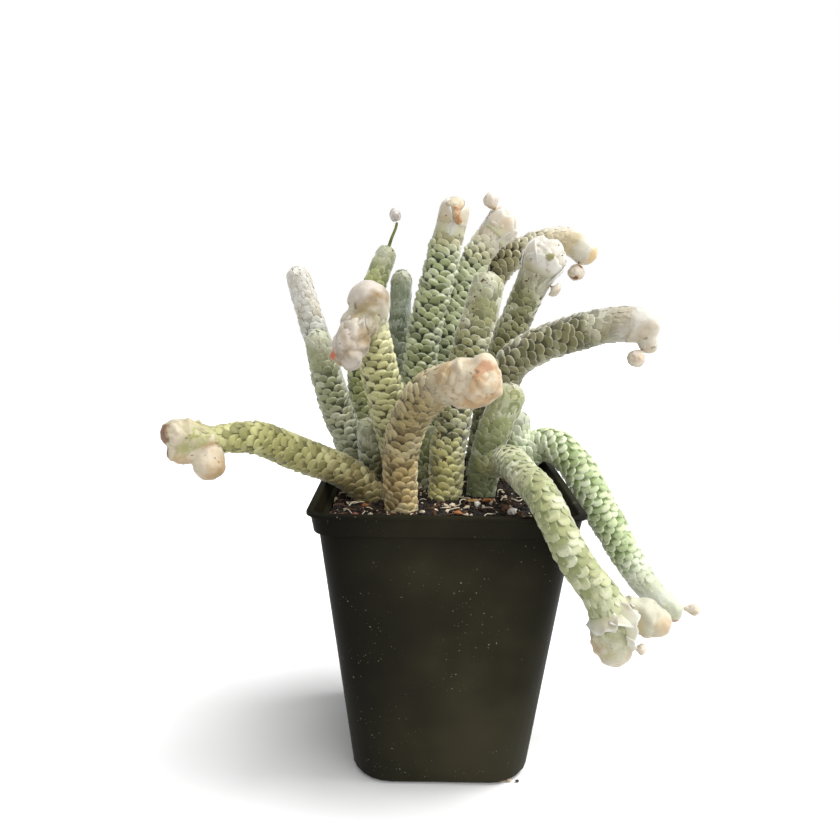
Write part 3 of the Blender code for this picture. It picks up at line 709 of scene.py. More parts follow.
class Limb:
    """A limb's middle line with its girth, a frame that doesn't twist, and a round tip."""

    def __init__(self, path):
        self.places = [place for place, _ in path]
        self.girths = [girth for _, girth in path]
        self.along = [0.0]
        for a, b in zip(self.places, self.places[1:]):
            self.along.append(self.along[-1] + (b - a).length)
        self.length = self.along[-1]
        self.axes = []
        for n in range(len(self.places)):
            low, high = max(0, n - 2), min(len(self.places) - 1, n + 2)
            self.axes.append((self.places[high] - self.places[low]).normalized())
        side = self.axes[0].orthogonal().normalized()
        self.sides = []
        for axis in self.axes:
            side = (side - axis * side.dot(axis)).normalized()
            self.sides.append(side)
        self.dome = min(0.8 * self.girths[-1], 0.5 * self.length)

    def at(self, reach):
        """Place, axis, side, girth and slope at a distance from the foot."""
        reach = max(0.0, min(self.length, reach))
        n = 0
        while n < len(self.along) - 2 and self.along[n + 1] < reach:
            n += 1
        span = max(1e-9, self.along[n + 1] - self.along[n])
        t = (reach - self.along[n]) / span
        girth = self.girths[n] * (1 - t) + self.girths[n + 1] * t
        slope = (self.girths[n + 1] - self.girths[n]) / span
        over = (reach - (self.length - self.dome)) / self.dome
        if over > 0:
            over = min(over, 0.995)
            round_off = math.sqrt(1 - over * over)
            slope = -girth * over / round_off / self.dome
            girth *= round_off
        axis = (self.axes[n] * (1 - t) + self.axes[n + 1] * t).normalized()
        side = (self.sides[n] * (1 - t) + self.sides[n + 1] * t)
        side = (side - axis * side.dot(axis)).normalized()
        place = self.places[n].lerp(self.places[n + 1], t)
        return place, axis, side, girth, slope


# ------------------------------------------------------------ mesh helpers

def smooth(value, low, high):
    """A soft step from 0 at low to 1 at high."""
    t = max(0.0, min(1.0, (value - low) / (high - low)))
    return t * t * (3 - 2 * t)


def link(name, data):
    """A new object in the scene."""
    made = bpy.data.objects.new(name, data)
    bpy.context.scene.collection.objects.link(made)
    return made


def mesh_object(name, mesh, finish=None, soft=True):
    """Turn a bmesh into an object with its places in the mesh."""
    data = bpy.data.meshes.new(name)
    mesh.to_mesh(data)
    mesh.free()
    if soft:
        data.shade_smooth()
    if finish:
        data.materials.append(finish)
    return link(name, data)


def float_layers(mesh, *labels):
    """New float attributes for a bmesh's corners, by name."""
    return {label: mesh.verts.layers.float.new(label) for label in labels}


def soften(mesh, rounds=1):
    """Draw the corners towards their neighbours."""
    for _ in range(rounds):
        bmesh.ops.smooth_vert(mesh, verts=mesh.verts, factor=0.5, use_axis_x=True,
                              use_axis_y=True, use_axis_z=True)


def close_tube(mesh, loops):
    """Join loops of corners into a tube and close its two ends."""
    sides = len(loops[0])
    for low, high in zip(loops, loops[1:]):
        for k in range(sides):
            j = (k + 1) % sides
            mesh.faces.new((low[k], low[j], high[j], high[k]))
    mesh.faces.new(loops[0][::-1])
    mesh.faces.new(loops[-1])


def shield(name, ragged, seed):
    """One scale, about a unit wide, long and high: low at its base, with a rounded free end."""
    points = 10
    rng = random.Random(seed)
    mesh = bmesh.new()
    layers = float_layers(mesh, "rim", "root")
    # from the middle out: the reach and height of each ring, and how much is rim
    rings = [(0.0, 1.0, 0.0), (0.46, 0.96, 0.0), (0.80, 0.80, 0.30), (0.96, 0.50, 1.0),
             (1.0, 0.08, 1.0), (0.82, -0.5, 1.0)]
    drift = [rng.uniform(-ragged, ragged) for _ in range(points)]
    loops = []
    for reach, height, edge in rings:
        loop = []
        count = 1 if reach == 0 else points
        for k in range(count):
            turn = math.tau * (k + 0.5) / points + math.pi / 2
            out = reach * (1 + drift[k] * reach)
            x = 0.5 * out * math.cos(turn)
            y = 0.5 * out * math.copysign(abs(math.sin(turn)) ** 0.85, math.sin(turn))
            y += 0.12 * (1 - reach)
            lift = height * (0.76 + 0.62 * y)
            vert = mesh.verts.new((x, y, lift))
            vert[layers["rim"]] = edge * (0.12 + 0.88 * smooth(y, 0.0, 0.42))
            # the root is the base of the scale, which the colour paints dark as the shade under the
            # row below
            vert[layers["root"]] = 1.0 if height < 0 else 1.0 - smooth(y, -0.20, 0.10)
            loop.append(vert)
        loops.append(loop)
    for inner, outer in zip(loops, loops[1:]):
        for k in range(points):
            j = (k + 1) % points
            if len(inner) == 1:
                mesh.faces.new((inner[0], outer[k], outer[j]))
            else:
                mesh.faces.new((inner[k], outer[k], outer[j], inner[j]))
    mesh.faces.new(loops[-1][::-1])
    bmesh.ops.recalc_face_normals(mesh, faces=mesh.faces)
    return mesh_object(name, mesh)


def film(limb, start, height, middle, arc, flare, thickness, seed, closed):
    """One papery film: a broad rounded leaf that hugs a limb, with a wavy free edge.

    closed is 1 where it follows the limb's round tip and 0 where it stands up."""
    mesh = bmesh.new()
    layers = float_layers(mesh, "rim", "tone", "base")
    shift = Vector((seed * 1.9, seed * 0.6, seed * 2.7))
    tone = random.Random(seed).random()
    loose = 0.6 - 0.35 * closed
    across, up = 16, 9
    sheets = ([], [])
    for j in range(up + 1):
        rows = ([], [])
        for i in range(across + 1):
            u = i / across * 2 - 1
            turn = middle + 0.5 * arc * u
            tall = height * math.sqrt(max(0.05, 1 - u * u * 0.96))
            tall *= 1 + (0.55 - 0.37 * closed) * noise.noise(Vector((u * 2.2, 0, 0)) + shift)
            v = j / up
            reach = min(start + tall * v, limb.length - 0.25 * limb.dome)
            place, axis, side, girth, _ = limb.at(reach)
            girth = limb.at(min(reach, limb.length - limb.dome))[3] * (1 - closed) + girth * closed
            way = side * math.cos(turn) + axis.cross(side) * math.sin(turn)
            fold = noise.noise(Vector((u * 2.6, v * 1.5, 3)) + shift)
            ripple = noise.noise(Vector((u * 6.0, v * 1.2, 7)) + shift)
            lift = 0.10 + 0.30 * v + flare * v * v + loose * ((0.5 + fold) + 0.35 * ripple) * v
            size = girth + (lift - 0.25) * MM
            for n, inward in enumerate((0.0, thickness)):
                vert = mesh.verts.new(place + way * (size - inward))
                vert[layers["rim"]] = max(v ** 3, abs(u) ** 4)
                vert[layers["tone"]] = tone
                vert[layers["base"]] = 1 - smooth(v, 0.0, 0.55)
                rows[n].append(vert)
        sheets[0].append(rows[0])
        sheets[1].append(rows[1])
    tops, unders = sheets
    for j in range(up):
        for i in range(across):
            mesh.faces.new((tops[j][i], tops[j][i + 1], tops[j + 1][i + 1], tops[j + 1][i]))
            mesh.faces.new((unders[j][i], unders[j + 1][i], unders[j + 1][i + 1], unders[j][i + 1]))
    border = ([(0, i) for i in range(across)] + [(j, across) for j in range(up)]
              + [(up, i) for i in range(across, 0, -1)] + [(j, 0) for j in range(up, 0, -1)])
    for (j, i), (k, m) in zip(border, border[1:] + border[:1]):
        mesh.faces.new((tops[j][i], unders[j][i], unders[k][m], tops[k][m]))
    bmesh.ops.recalc_face_normals(mesh, faces=mesh.faces)
    return mesh


def lump(name, seed):
    """A rough grain about one unit across."""
    mesh = bmesh.new()
    bmesh.ops.create_icosphere(mesh, subdivisions=1, radius=0.5)
    start = Vector((seed * 3.7, seed * 1.3, 0))
    for vert in mesh.verts:
        rough = noise.noise(vert.co * 3.1 + start) + noise.noise(vert.co * 7 + start)
        vert.co *= 1 + 0.25 * rough
    return mesh_object(name, mesh, soft=False)


def given_to(piece, node, slot):
    """Hand a finished piece to the body, in place of a solid."""
    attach(piece, BODY)
    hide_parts(node)


# ---------------------------------------------------------- geometry nodes

def scatter_tree(name, sockets):
    """An empty geometry tree with a geometry in and out, and named inputs."""
    tree = bpy.data.node_groups.new(name, "GeometryNodeTree")
    tree.interface.new_socket("Geometry", in_out="INPUT", socket_type="NodeSocketGeometry")
    for label, kind, default in sockets:
        made = tree.interface.new_socket(label, in_out="INPUT", socket_type="NodeSocket" + kind)
        if default is not None:
            made.default_value = default
    tree.interface.new_socket("Geometry", in_out="OUTPUT", socket_type="NodeSocketGeometry")
    return tree, add(tree, "NodeGroupInput").outputs, add(tree, "NodeGroupOutput").inputs


def grown(target, tree, **values):
    """Run a geometry tree on an object, make its result a plain mesh, drop the modifier."""
    modifier = target.modifiers.new(tree.name, "NODES")
    modifier.node_group = tree
    for item in tree.interface.items_tree:
        if item.item_type == "SOCKET" and item.in_out == "INPUT" and item.name in values:
            modifier[item.identifier] = values[item.name]
    bpy.context.view_layer.update()
    graph = bpy.context.evaluated_depsgraph_get()
    data = bpy.data.meshes.new_from_object(target.evaluated_get(graph), depsgraph=graph)
    target.modifiers.clear()
    old = target.data
    target.data = data
    bpy.data.meshes.remove(old)
    data.name = target.name


def field(tree, name, kind="FLOAT"):
    """What the points carry under a name."""
    made = add(tree, "GeometryNodeInputNamedAttribute", {"Name": name}, data_type=kind)
    return made.outputs["Attribute"]


def chance(tree, low, high, seed, offset=0, kind="FLOAT"):
    """A random value or vector for each element."""
    made = add(tree, "FunctionNodeRandomValue", data_type=kind)
    first, second = {"FLOAT": (2, 3), "FLOAT_VECTOR": (0, 1), "INT": (4, 5)}[kind]
    made.inputs[first].default_value = low
    made.inputs[second].default_value = high
    shifted = add(tree, "FunctionNodeIntegerMath", {0: seed, 1: offset}, operation="ADD")
    tree.links.new(shifted.outputs[0], made.inputs["Seed"])
    return made.outputs[{"FLOAT": 1, "FLOAT_VECTOR": 0, "INT": 2}[kind]]


def repeat_shapes(tree, given, result, kinds, draw, points, turned, size):
    """Set one of several shapes on each point, each with a tone of its own, and dress them.

    draw is the number of the next random draw."""
    seed = given["Seed"]
    shapes = add(tree, "GeometryNodeCollectionInfo",
                 {"Collection": given["Shapes"], "Separate Children": True,
                  "Reset Children": True})
    placed = add(tree, "GeometryNodeInstanceOnPoints",
                 {"Points": points, "Instance": shapes.outputs[0], "Pick Instance": True,
                  "Instance Index": chance(tree, 0, kinds - 1, seed, draw, "INT"),
                  "Rotation": turned, "Scale": size})
    toned = add(tree, "GeometryNodeStoreNamedAttribute",
                {"Geometry": placed.outputs[0], "Name": "tone",
                 "Value": chance(tree, 0.0, 1.0, seed, draw + 1)},
                data_type="FLOAT", domain="INSTANCE")
    solid = add(tree, "GeometryNodeRealizeInstances", {0: toned.outputs[0]})
    dressed = add(tree, "GeometryNodeSetMaterial",
                  {"Geometry": solid.outputs[0], "Material": given["Material"]})
    tree.links.new(dressed.outputs[0], result[0])


def scale_rows_tree():
    """Sets each scale on the skin at its own turn, seated and tilted."""
    found = bpy.data.node_groups.get("scale_rows")
    if found:
        return found
    tree, given, result = scatter_tree("scale_rows", [
        ("Shapes", "Collection", None), ("Material", "Material", None), ("Seat", "Float", 0.001),
        ("Pitch", "Float", 0.0019), ("Long", "Float", 1.6), ("Wide", "Float", 1.1),
        ("Rise", "Float", 0.001), ("Tilt", "Float", 0.15), ("Fringe", "Float", 0.05),
        ("Jitter", "Float", 0.12), ("Seed", "Int", 1)])
    seed = given["Seed"]
    count = field(tree, "count", "INT")
    axis = field(tree, "axis", "FLOAT_VECTOR")
    side = field(tree, "side", "FLOAT_VECTOR")
    girth = field(tree, "girth")
    slope = field(tree, "slope")
    relief = field(tree, "relief")
    # the way out of the stem at the scale's turn, and up along its surface
    wobble = times(tree, chance(tree, -1.0, 1.0, seed), given["Jitter"], math.tau)
    turn = maths(tree, "ADD", field(tree, "turn"), maths(tree, "DIVIDE", wobble, count))
    across = vectors(tree, "CROSS_PRODUCT", axis, side)
    out = vectors(tree, "ADD", vectors(tree, "SCALE", side, maths(tree, "COSINE", turn)),
                  vectors(tree, "SCALE", across, maths(tree, "SINE", turn)))
    up = vectors(tree, "NORMALIZE", vectors(tree, "ADD", axis, vectors(tree, "SCALE", out, slope)))
    face = vectors(tree, "NORMALIZE",
                   vectors(tree, "SUBTRACT", out, vectors(tree, "SCALE", axis, slope)))
    # its place: seated in the stem, a little up or down
    depth = times(tree, given["Seat"], plus(tree, relief, 0.5, 0.5))
    reach = maths(tree, "MAXIMUM", maths(tree, "SUBTRACT", girth, depth), 0.2 * MM)
    drift = times(tree, chance(tree, -1.0, 1.0, seed, 1), given["Jitter"], given["Pitch"])
    shift = vectors(tree, "ADD", vectors(tree, "SCALE", out, reach),
                    vectors(tree, "SCALE", up, drift))
    placed = add(tree, "GeometryNodeSetPosition",
                 {"Geometry": given["Geometry"], "Offset": shift})
    # its lean: tilted at its free edge, now and then loose, and twisted
    loose = maths(tree, "LESS_THAN", chance(tree, 0.0, 1.0, seed, 2), given["Fringe"])
    tilt = maths(tree, "ADD", plus(tree, loose, 0.40, given["Tilt"]),
                 chance(tree, -0.10, 0.12, seed, 3))
    tilt = times(tree, tilt, times(tree, relief, relief))
    twist = times(tree, chance(tree, -1.0, 1.0, seed, 4), given["Jitter"])
    lean = add(tree, "ShaderNodeCombineXYZ", {"X": tilt, "Y": 0.0, "Z": twist})
    lean = add(tree, "FunctionNodeEulerToRotation", {0: lean.outputs[0]})
    facing = add(tree, "FunctionNodeAxesToRotation", {"Primary Axis": face, "Secondary Axis": up},
                 primary_axis="Z", secondary_axis="Y")
    facing = add(tree, "FunctionNodeRotateRotation",
                 {0: facing.outputs[0], 1: lean.outputs[0]}, rotation_space="LOCAL")
    # its size: as wide as its place in the row, with some spread
    width = maths(tree, "DIVIDE", times(tree, girth, math.tau), count)
    width = times(tree, width, given["Wide"], chance(tree, 0.86, 1.14, seed, 5))
    tall = times(tree, given["Pitch"], given["Long"], chance(tree, 0.86, 1.14, seed, 6))
    rise = times(tree, given["Rise"], chance(tree, 0.80, 1.2, seed, 7), relief)
    size = add(tree, "ShaderNodeCombineXYZ", {"X": width, "Y": tall, "Z": rise})
    repeat_shapes(tree, given, result, SHIELDS, 8, placed.outputs[0], facing.outputs[0],
                  size.outputs[0])
    return tree


def shape_set(name, shapes):
    """Keep repeated shapes in a collection that the scene doesn't show."""
    holder = bpy.data.collections.new(name)
    for shape in shapes:
        for user in list(shape.users_collection):
            user.objects.unlink(shape)
        holder.objects.link(shape)
    return holder


def drop_set(holder):
    """Remove the shapes once they have been repeated."""
    for shape in list(holder.objects):
        bpy.data.objects.remove(shape, do_unlink=True)
    bpy.data.collections.remove(holder)


def evened(node, name, size):
    """A bmesh with the form of a solid, made of small even facets."""
    piece = mesh_object(name, merged(node))
    modifier = piece.modifiers.new("even", "REMESH")
    modifier.mode = "VOXEL"
    modifier.voxel_size = size
    graph = bpy.context.evaluated_depsgraph_get()
    data = bpy.data.meshes.new_from_object(piece.evaluated_get(graph), depsgraph=graph)
    bpy.data.objects.remove(piece, do_unlink=True)
    mesh = bmesh.new()
    mesh.from_mesh(data)
    bpy.data.meshes.remove(data)
    soften(mesh)
    return mesh


def refined(node, name, finish, size, wrinkle=0.0, fine=0.35, seed=0, rounds=0, swell=0.0):
    """A softer, slightly wrinkled piece with the form of its solid."""
    mesh = evened(node, name, size)
    soften(mesh, rounds)
    shift = Vector((seed * 1.7, seed * 3.1, seed * 0.9))
    mesh.normal_update()
    moves = [(noise.noise(v.co / MM * fine + shift)
              + 0.6 * noise.noise(v.co / MM * fine * 2.7 + shift)) * wrinkle + swell
             for v in mesh.verts]
    places = [v.co + v.normal * move for v, move in zip(mesh.verts, moves)]
    for vert, place in zip(mesh.verts, places):
        vert.co = place
    return mesh_object(name, mesh, finish)


# ------------------------------------------------------------------- stems

# What bare skin has everywhere, under the scales and on the heads.
BARE_SKIN = {"skin": 1.0, "tone": 0.4, "rim": 0.0}


def rows_along(limb, start, end, pitch, width, looks):
    """One entry for each scale, set in a spiral that is even over the surface."""
    spots = []
    reach = start
    full = sorted(limb.girths)[len(limb.girths) // 2]
    around = max(4, round(math.tau * full / width))
    while reach < end:
        place, axis, side, girth, slope = limb.at(reach)
        count = around
        if reach > limb.length - limb.dome:
            count = max(3, round(around * girth / full))
        spots.append({"place": place, "axis": axis, "side": side, "girth": girth, "slope": slope,
                      "count": count, "turn": len(spots) * GOLDEN, **looks(reach, place)})
        reach += pitch / count / math.sqrt(1 + min(slope * slope, 30.0))
    return spots


def row_object(name, rows):
    """The scales' seats as loose points with everything that the tree reads."""
    data = bpy.data.meshes.new(name)
    data.from_pydata([row["place"] for row in rows], [], [])
    for label, first in rows[0].items():
        if label == "place":
            continue
        kind = {Vector: "FLOAT_VECTOR", int: "INT"}.get(type(first), "FLOAT")
        layer = data.attributes.new(label, kind, "POINT")
        for item, row in zip(layer.data, rows):
            setattr(item, "vector" if kind == "FLOAT_VECTOR" else "value", row[label])
    return link(name, data)


def skin_tube(limb, start, end, settings, looks, seed):
    """The closed skin under the scales, as a bmesh with the scales' attributes."""
    mesh = bmesh.new()
    layers = float_layers(mesh, "rim", "tone", "rise", "paper", "skin", "relief", "under")
    sides = 24
    step = 0.8 * MM
    reaches = [start]
    while reaches[-1] < end - 0.2 * step:
        slope = limb.at(reaches[-1])[4]
        reaches.append(min(end, reaches[-1] + step / math.sqrt(1 + min(slope * slope, 20.0))))
    loops = []
    shift = Vector((seed * 2.3, seed * 0.7, seed * 1.9))
    for reach in reaches:
        place, axis, side, girth, slope = limb.at(reach)
        across = axis.cross(side)
        marks = {**looks(reach, place), **BARE_SKIN}
        depth = 0.12 * MM + settings.skin * marks["relief"]
        loop = []
        for k in range(sides):
            turn = math.tau * k / sides
            way = side * math.cos(turn) + across * math.sin(turn)
            size = max(girth - depth, 0.1 * girth)
            spot = (place + way * girth) / MM
            fold = noise.noise(spot * 0.22 + shift) + 0.5 * noise.noise(spot * 0.5 + shift)
            size *= 1 + settings.crumple * (fold - 0.15) * (1 - marks["relief"])
            vert = mesh.verts.new(place + way * size)
            for label, layer in layers.items():
                vert[layer] = marks[label]
            loop.append(vert)
        loops.append(loop)
    close_tube(mesh, loops)
    bmesh.ops.recalc_face_normals(mesh, faces=mesh.faces)
    return mesh


def joined(name, parts):
    """Join several objects into the first and rename it."""
    with bpy.context.temp_override(active_object=parts[0], selected_editable_objects=parts):
        bpy.ops.object.join()
    parts[0].name = name
    parts[0].data.name = name
    return parts[0]


# How deep the folds are on the kinds of head that have few.
FOLDS = {"bulb": 0.15, "sheath": 0.4}
# The films of each kind of head: their number, how far up the head they spread,
# then ranges of height (mm), width (radians) and flare (mm), the turn from one
# to the next, and how far they close over the tip.
FILMS = {
    "crest": (4, 0.15, (2.2, 3.6), (1.1, 1.9), (0.3, 1.0), 2.4, 0.0),
    "sheath": (2, 0.10, (10.5, 11.5), (3.0, 3.2), (0.0, 0.3), math.pi, 1.0),
    "open": (5, 0.45, (6.0, 8.0), (1.9, 2.6), (0.1, 0.6), 2.4, 0.65),
}


def scar_at(place, tip, scar):
    """How near a place is to where a flower dropped: 1 there and 0 beyond the mark."""
    size, shift = scar
    away = place - (tip + Vector(shift) * MM)
    away.z *= 0.6
    return 1 - smooth(away.length, 0.0, size * MM)


def mark_scar(mesh, tip, scar):
    """Give a whole bmesh its scar attribute."""
    layer = mesh.verts.layers.float.new("scar")
    for vert in mesh.verts:
        vert[layer] = scar_at(vert.co, tip, scar)


def films_on(limb, edge, kind, settings, finish, name, seed, scar):
    """Overlapping films round a head, the later ones nearer its tip."""
    count, spread, heights, arcs, flares, turn, closed = FILMS[kind]
    rng = random.Random(seed)
    parts = []
    _, axis, side, _, _ = limb.at(edge)
    right = math.atan2(axis.cross(side).x, side.x)
    for k in range(count):
        start = edge - 1.5 * MM + (limb.length - edge) * spread * k / count
        height = rng.uniform(*heights) * MM
        middle = right + k * turn + rng.uniform(-0.2, 0.2)
        piece = film(limb, start, height, middle, rng.uniform(*arcs), rng.uniform(*flares),
                     settings.film, seed * 7 + k, closed)
        if scar:
            mark_scar(piece, limb.places[-1], scar)
        parts.append(mesh_object(name + str(k), piece, finish))
    return parts


def head_corners(mesh, limbs, edges, looks_of, lobes, scars):
    """Mark the corners of a stem's heads and cut the rest away; gives their attributes."""
    layers = float_layers(mesh, "rim", "tone", "rise", "paper", "skin", "relief", "sink", "lobe",
                          "scar", "under", "seam")
    spots = [(n, reach, place) for n, limb in enumerate(limbs)
             for reach, place in zip(limb.along, limb.places)]
    tree = KDTree(len(spots))
    for k, (_, _, place) in enumerate(spots):
        tree.insert(place, k)
    tree.balance()
    outside = []
    for vert in mesh.verts:
        n, reach, _ = spots[tree.find(vert.co)[1]]
        if edges[n] is None or reach < edges[n] - 1.2 * MM:
            outside.append(vert)
            continue
        # the head's lower end dives under the scales
        sink = 0.0
        if edges[n] > 6 * MM:
            sink = 1 - smooth(reach, edges[n] - 1.2 * MM, edges[n] + 3.0 * MM)
        marks = {**looks_of[n](reach, vert.co), **BARE_SKIN, "relief": 0.1, "sink": sink,
                 "lobe": lobes[n]}
        if n in scars:
            marks["scar"] = scar_at(vert.co, limbs[n].places[-1], scars[n])
        for label, layer in layers.items():
            vert[layer] = marks.get(label, 0.0)
    bmesh.ops.delete(mesh, geom=outside, context="VERTS")
    return layers


def swollen_head(node, mesh, layers, settings, finish, seed):
    """The dry heads of a stem: the solid's own form, softened and gently lumpy."""
    rims = [edge for edge in mesh.edges if edge.is_boundary]
    bmesh.ops.holes_fill(mesh, edges=rims, sides=0)
    bmesh.ops.recalc_face_normals(mesh, faces=mesh.faces)
    mesh.normal_update()
    shift = Vector((seed * 2.3, seed * 0.7, seed * 1.9))
    places = {}
    for vert in mesh.verts:
        spot = vert.co / MM
        sway = noise.noise_vector(spot * 0.35 + shift)
        near = noise.voronoi((spot + sway * 2.2) / settings.lobe * MM + shift)[0]
        # between two lobes the distances to both are alike
        apart = near[1] - near[0]
        lobe = smooth(apart, 0.0, 0.70)
        fold = noise.noise(spot * 0.20 + shift) + 0.40 * noise.noise(spot * 0.55 + shift)
        sink = vert[layers["sink"]]
        folded = vert[layers["lobe"]]
        move = settings.lumps * (fold * (0.25 + 0.3 * folded) + (lobe - 0.3) * 1.3 * folded)
        places[vert] = vert.co + vert.normal * (move * (1 - sink) - 0.7 * MM * sink)
        # the undersides get a warmer, darker colour that is partly painted shade
        vert[layers["under"]] = 0.5 - 0.5 * vert.normal.z
        # the folds between lobes get a tint that is partly painted shade
        vert[layers["seam"]] = (1 - smooth(apart, 0.0, 0.12)) * folded
    for vert, place in places.items():
        vert.co = place
    return mesh_object(node + "_core", mesh, finish)


def looks_along(limb, style, tip, edge, surface, trunk):
    """A function that gives the attributes of a limb's skin and scales at a place on it."""
    kind, _, soften_over, pale = tip
    plain = kind == "plain"

    def looks(reach, place):
        rise = max(place.z - surface, reach * 0.7) if trunk else 30 * MM
        soft = smooth(reach, edge - soften_over * MM, edge + 1 * MM)
        paper = smooth(reach, limb.length - pale * MM, limb.length - 0.2 * pale * MM)
        return {"rise": rise, "paper": paper * (0.85 if plain else 1.0),
                "relief": style["relief"] * (1.0 - (0.62 if plain else 0.75) * soft),
                "skin": 0.0, "under": 0.5}

    return looks


def scaled_limb(label, limb, start, end, settings, looks, finish, shields, seed):
    """The rows of scales along a limb and the bare skin under them."""
    rows = rows_along(limb, start, end, settings.row_pitch, settings.scale_width, looks)
    scales = row_object(label + "_scales", rows)
    grown(scales, scale_rows_tree(), Shapes=shields, Material=finish, Seat=settings.seat,
          Pitch=settings.row_pitch, Long=settings.overlap, Wide=settings.sidelap,
          Rise=settings.scale_rise, Tilt=settings.tilt, Fringe=settings.loose,
          Jitter=settings.uneven, Seed=seed)
    skin = skin_tube(limb, start, end, settings, looks, seed)
    return [scales, mesh_object(label + "_skin", skin, finish)]


def dress_stem(node, style, settings, shields, order):
    """Skin, scales and papery head of one stem."""
    limbs = [Limb(path) for path in limbs_of(node)]
    seed = settings.seed * 100 + order * 17
    finish = scales_material(style)
    scars = style.get("scars", {})
    surface = MIX_HIGH.z - 2.5 * MM
    scale_parts, head_parts, edges, looks_of = [], [], [], []
    for n, limb in enumerate(limbs):
        kind, cap, _, _ = style["tips"][n]
        start = 0.0
        while n == 0 and limb.at(start)[0].z < surface - 1.2 * MM:
            start += 0.2 * MM
        edge = max(start, limb.length - cap * MM)
        edges.append(None if kind == "plain" else edge)
        looks = looks_along(limb, style, style["tips"][n], edge, surface, n == 0)
        looks_of.append(looks)
        label = node + "_limb" + str(n)
        if edge > start + 2 * MM:
            end = limb.length if kind == "plain" else edge + 3.0 * MM
            scale_parts += scaled_limb(label, limb, start, end, settings, looks, finish, shields,
                                       seed + n)
        if kind in FILMS:
            head_parts += films_on(limb, edge, kind, settings, paper_material(style),
                                   label + "_film", seed + n, scars.get(n))
    if any(edge is not None for edge in edges):
        lobes = [FOLDS.get(kind, style.get("folds", 1.0)) for kind, _, _, _ in style["tips"]]
        mesh = evened(node, node + "_core", settings.fine)
        layers = head_corners(mesh, limbs, edges, looks_of, lobes, scars)
        head_parts.append(swollen_head(node, mesh, layers, settings, finish, seed))
    for name, parts, slot in ((node + "_scales", scale_parts, "green_scales"),
                              (node + "_head", head_parts, "pale_paper")):
        if parts:
            given_to(joined(name, parts), node, slot)


class AVONIA_OT_stems(bpy.types.Operator):
    """Dress each stem in overlapping scales, with papery films at its tips"""
    bl_idname = "avonia.stems"
    bl_label = "Stems"

    def execute(self, context):
        shields = shape_set("scale_shapes", [shield("scale_" + str(k), 0.05 + 0.02 * k, k + 1)
                                             for k in range(SHIELDS)])
        for order, (node, style) in enumerate(sorted(STEMS.items())):
            dress_stem(node, style, context.scene.avonia_stems, shields, order)
        drop_set(shields)
        return {"FINISHED"}


# ------------------------------------------------------ flowers and capsules

class AVONIA_OT_flowers(bpy.types.Operator):
    """Flower stalk, bud and dried flower"""
    bl_idname = "avonia.flowers"
    bl_label = "Flowers"

    def execute(self, context):
        stalk = tinted_material("stalk_olive", (0.50, 0.53, 0.26), (0.36, 0.38, 0.16), 500)
        bud = tinted_material("bud_petals", (0.84, 0.82, 0.80), (0.68, 0.64, 0.62), 700)
        dried = tinted_material("dried_petals", (0.82, 0.72, 0.58), (0.68, 0.50, 0.34), 500, 0.75)
        for node, name, finish, size, wrinkle, fine, slot in (
                ("flower_stalk", "flower_stalk_skin", stalk, 0.2, 0.0, 0.35, "stalk_green"),
                ("flower_bud", "flower_bud_petals", bud, 0.2, 0.12, 0.9, "pale_paper"),
                ("dried_flower", "dried_flower_petals", dried, 0.25, 0.3, 0.8, "bark_brown")):
            given_to(refined(node, name, finish, size * MM, wrinkle * MM, fine), node, slot)
        return {"FINISHED"}


def withered_thread(node, stems, seed):
    """The thin dry stalk that holds a capsule to the nearest stem, as a closed tube."""
    low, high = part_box(node)
    middle = (Vector(low) + Vector(high)) / 2
    spots = [stem.find_nearest(middle)[0] for stem in stems]
    seat = min(spots, key=lambda spot: (spot - middle).length)
    way = (seat - middle).normalized()
    side = way.orthogonal().normalized()
    across = way.cross(side)
    span = (seat - middle).length + 1.2 * MM
    sides = steps = 8
    mesh = bmesh.new()
    loops = []
    for k in range(steps + 1):
        bend = noise.noise_vector(Vector((k * 0.35, seed, 0))) * 0.35 * MM
        place = middle + way * span * k / steps + bend
        thick = (0.24 + 0.10 * noise.noise(Vector((k * 0.9, seed, 5)))) * MM
        loop = []
        for n in range(sides):
            turn = math.tau * n / sides
            out = side * math.cos(turn) + across * math.sin(turn)
            loop.append(mesh.verts.new(place + out * thick))
        loops.append(loop)
    close_tube(mesh, loops)
    bmesh.ops.recalc_face_normals(mesh, faces=mesh.faces)
    return mesh


def nodes_named(start):
    """The solids whose names begin alike, in order, each with a seed of its own."""
    return [(node, ord(node[-1])) for node in sorted(NODES) if node.startswith(start)]


class AVONIA_OT_capsules(bpy.types.Operator):
    """Dried seed capsules at the stem tips"""
    bl_idname = "avonia.capsules"
    bl_label = "Seed Capsules"

    def execute(self, context):
        husk = tinted_material("capsule_husk", (0.86, 0.82, 0.76), (0.79, 0.71, 0.61), 420,
                               low=0.42, high=0.66, spot=(0.52, 0.36, 0.24), spot_level=0.70)
        dry = tinted_material("dry_thread", (0.58, 0.42, 0.28), (0.36, 0.22, 0.13), 900, 0.8)
        stems = [BVHTree.FromBMesh(merged(node)) for node in STEMS]
        for node, seed in nodes_named("seed_capsule"):
            piece = refined(node, node + "_husk", husk, 0.16 * MM, 0.22 * MM, 0.6, seed,
                            rounds=4, swell=0.22 * MM)
            thread = mesh_object(node + "_thread", withered_thread(node, stems, seed), dry)
            given_to(joined(node + "_husk", [piece, thread]), node, "pale_paper")
        return {"FINISHED"}


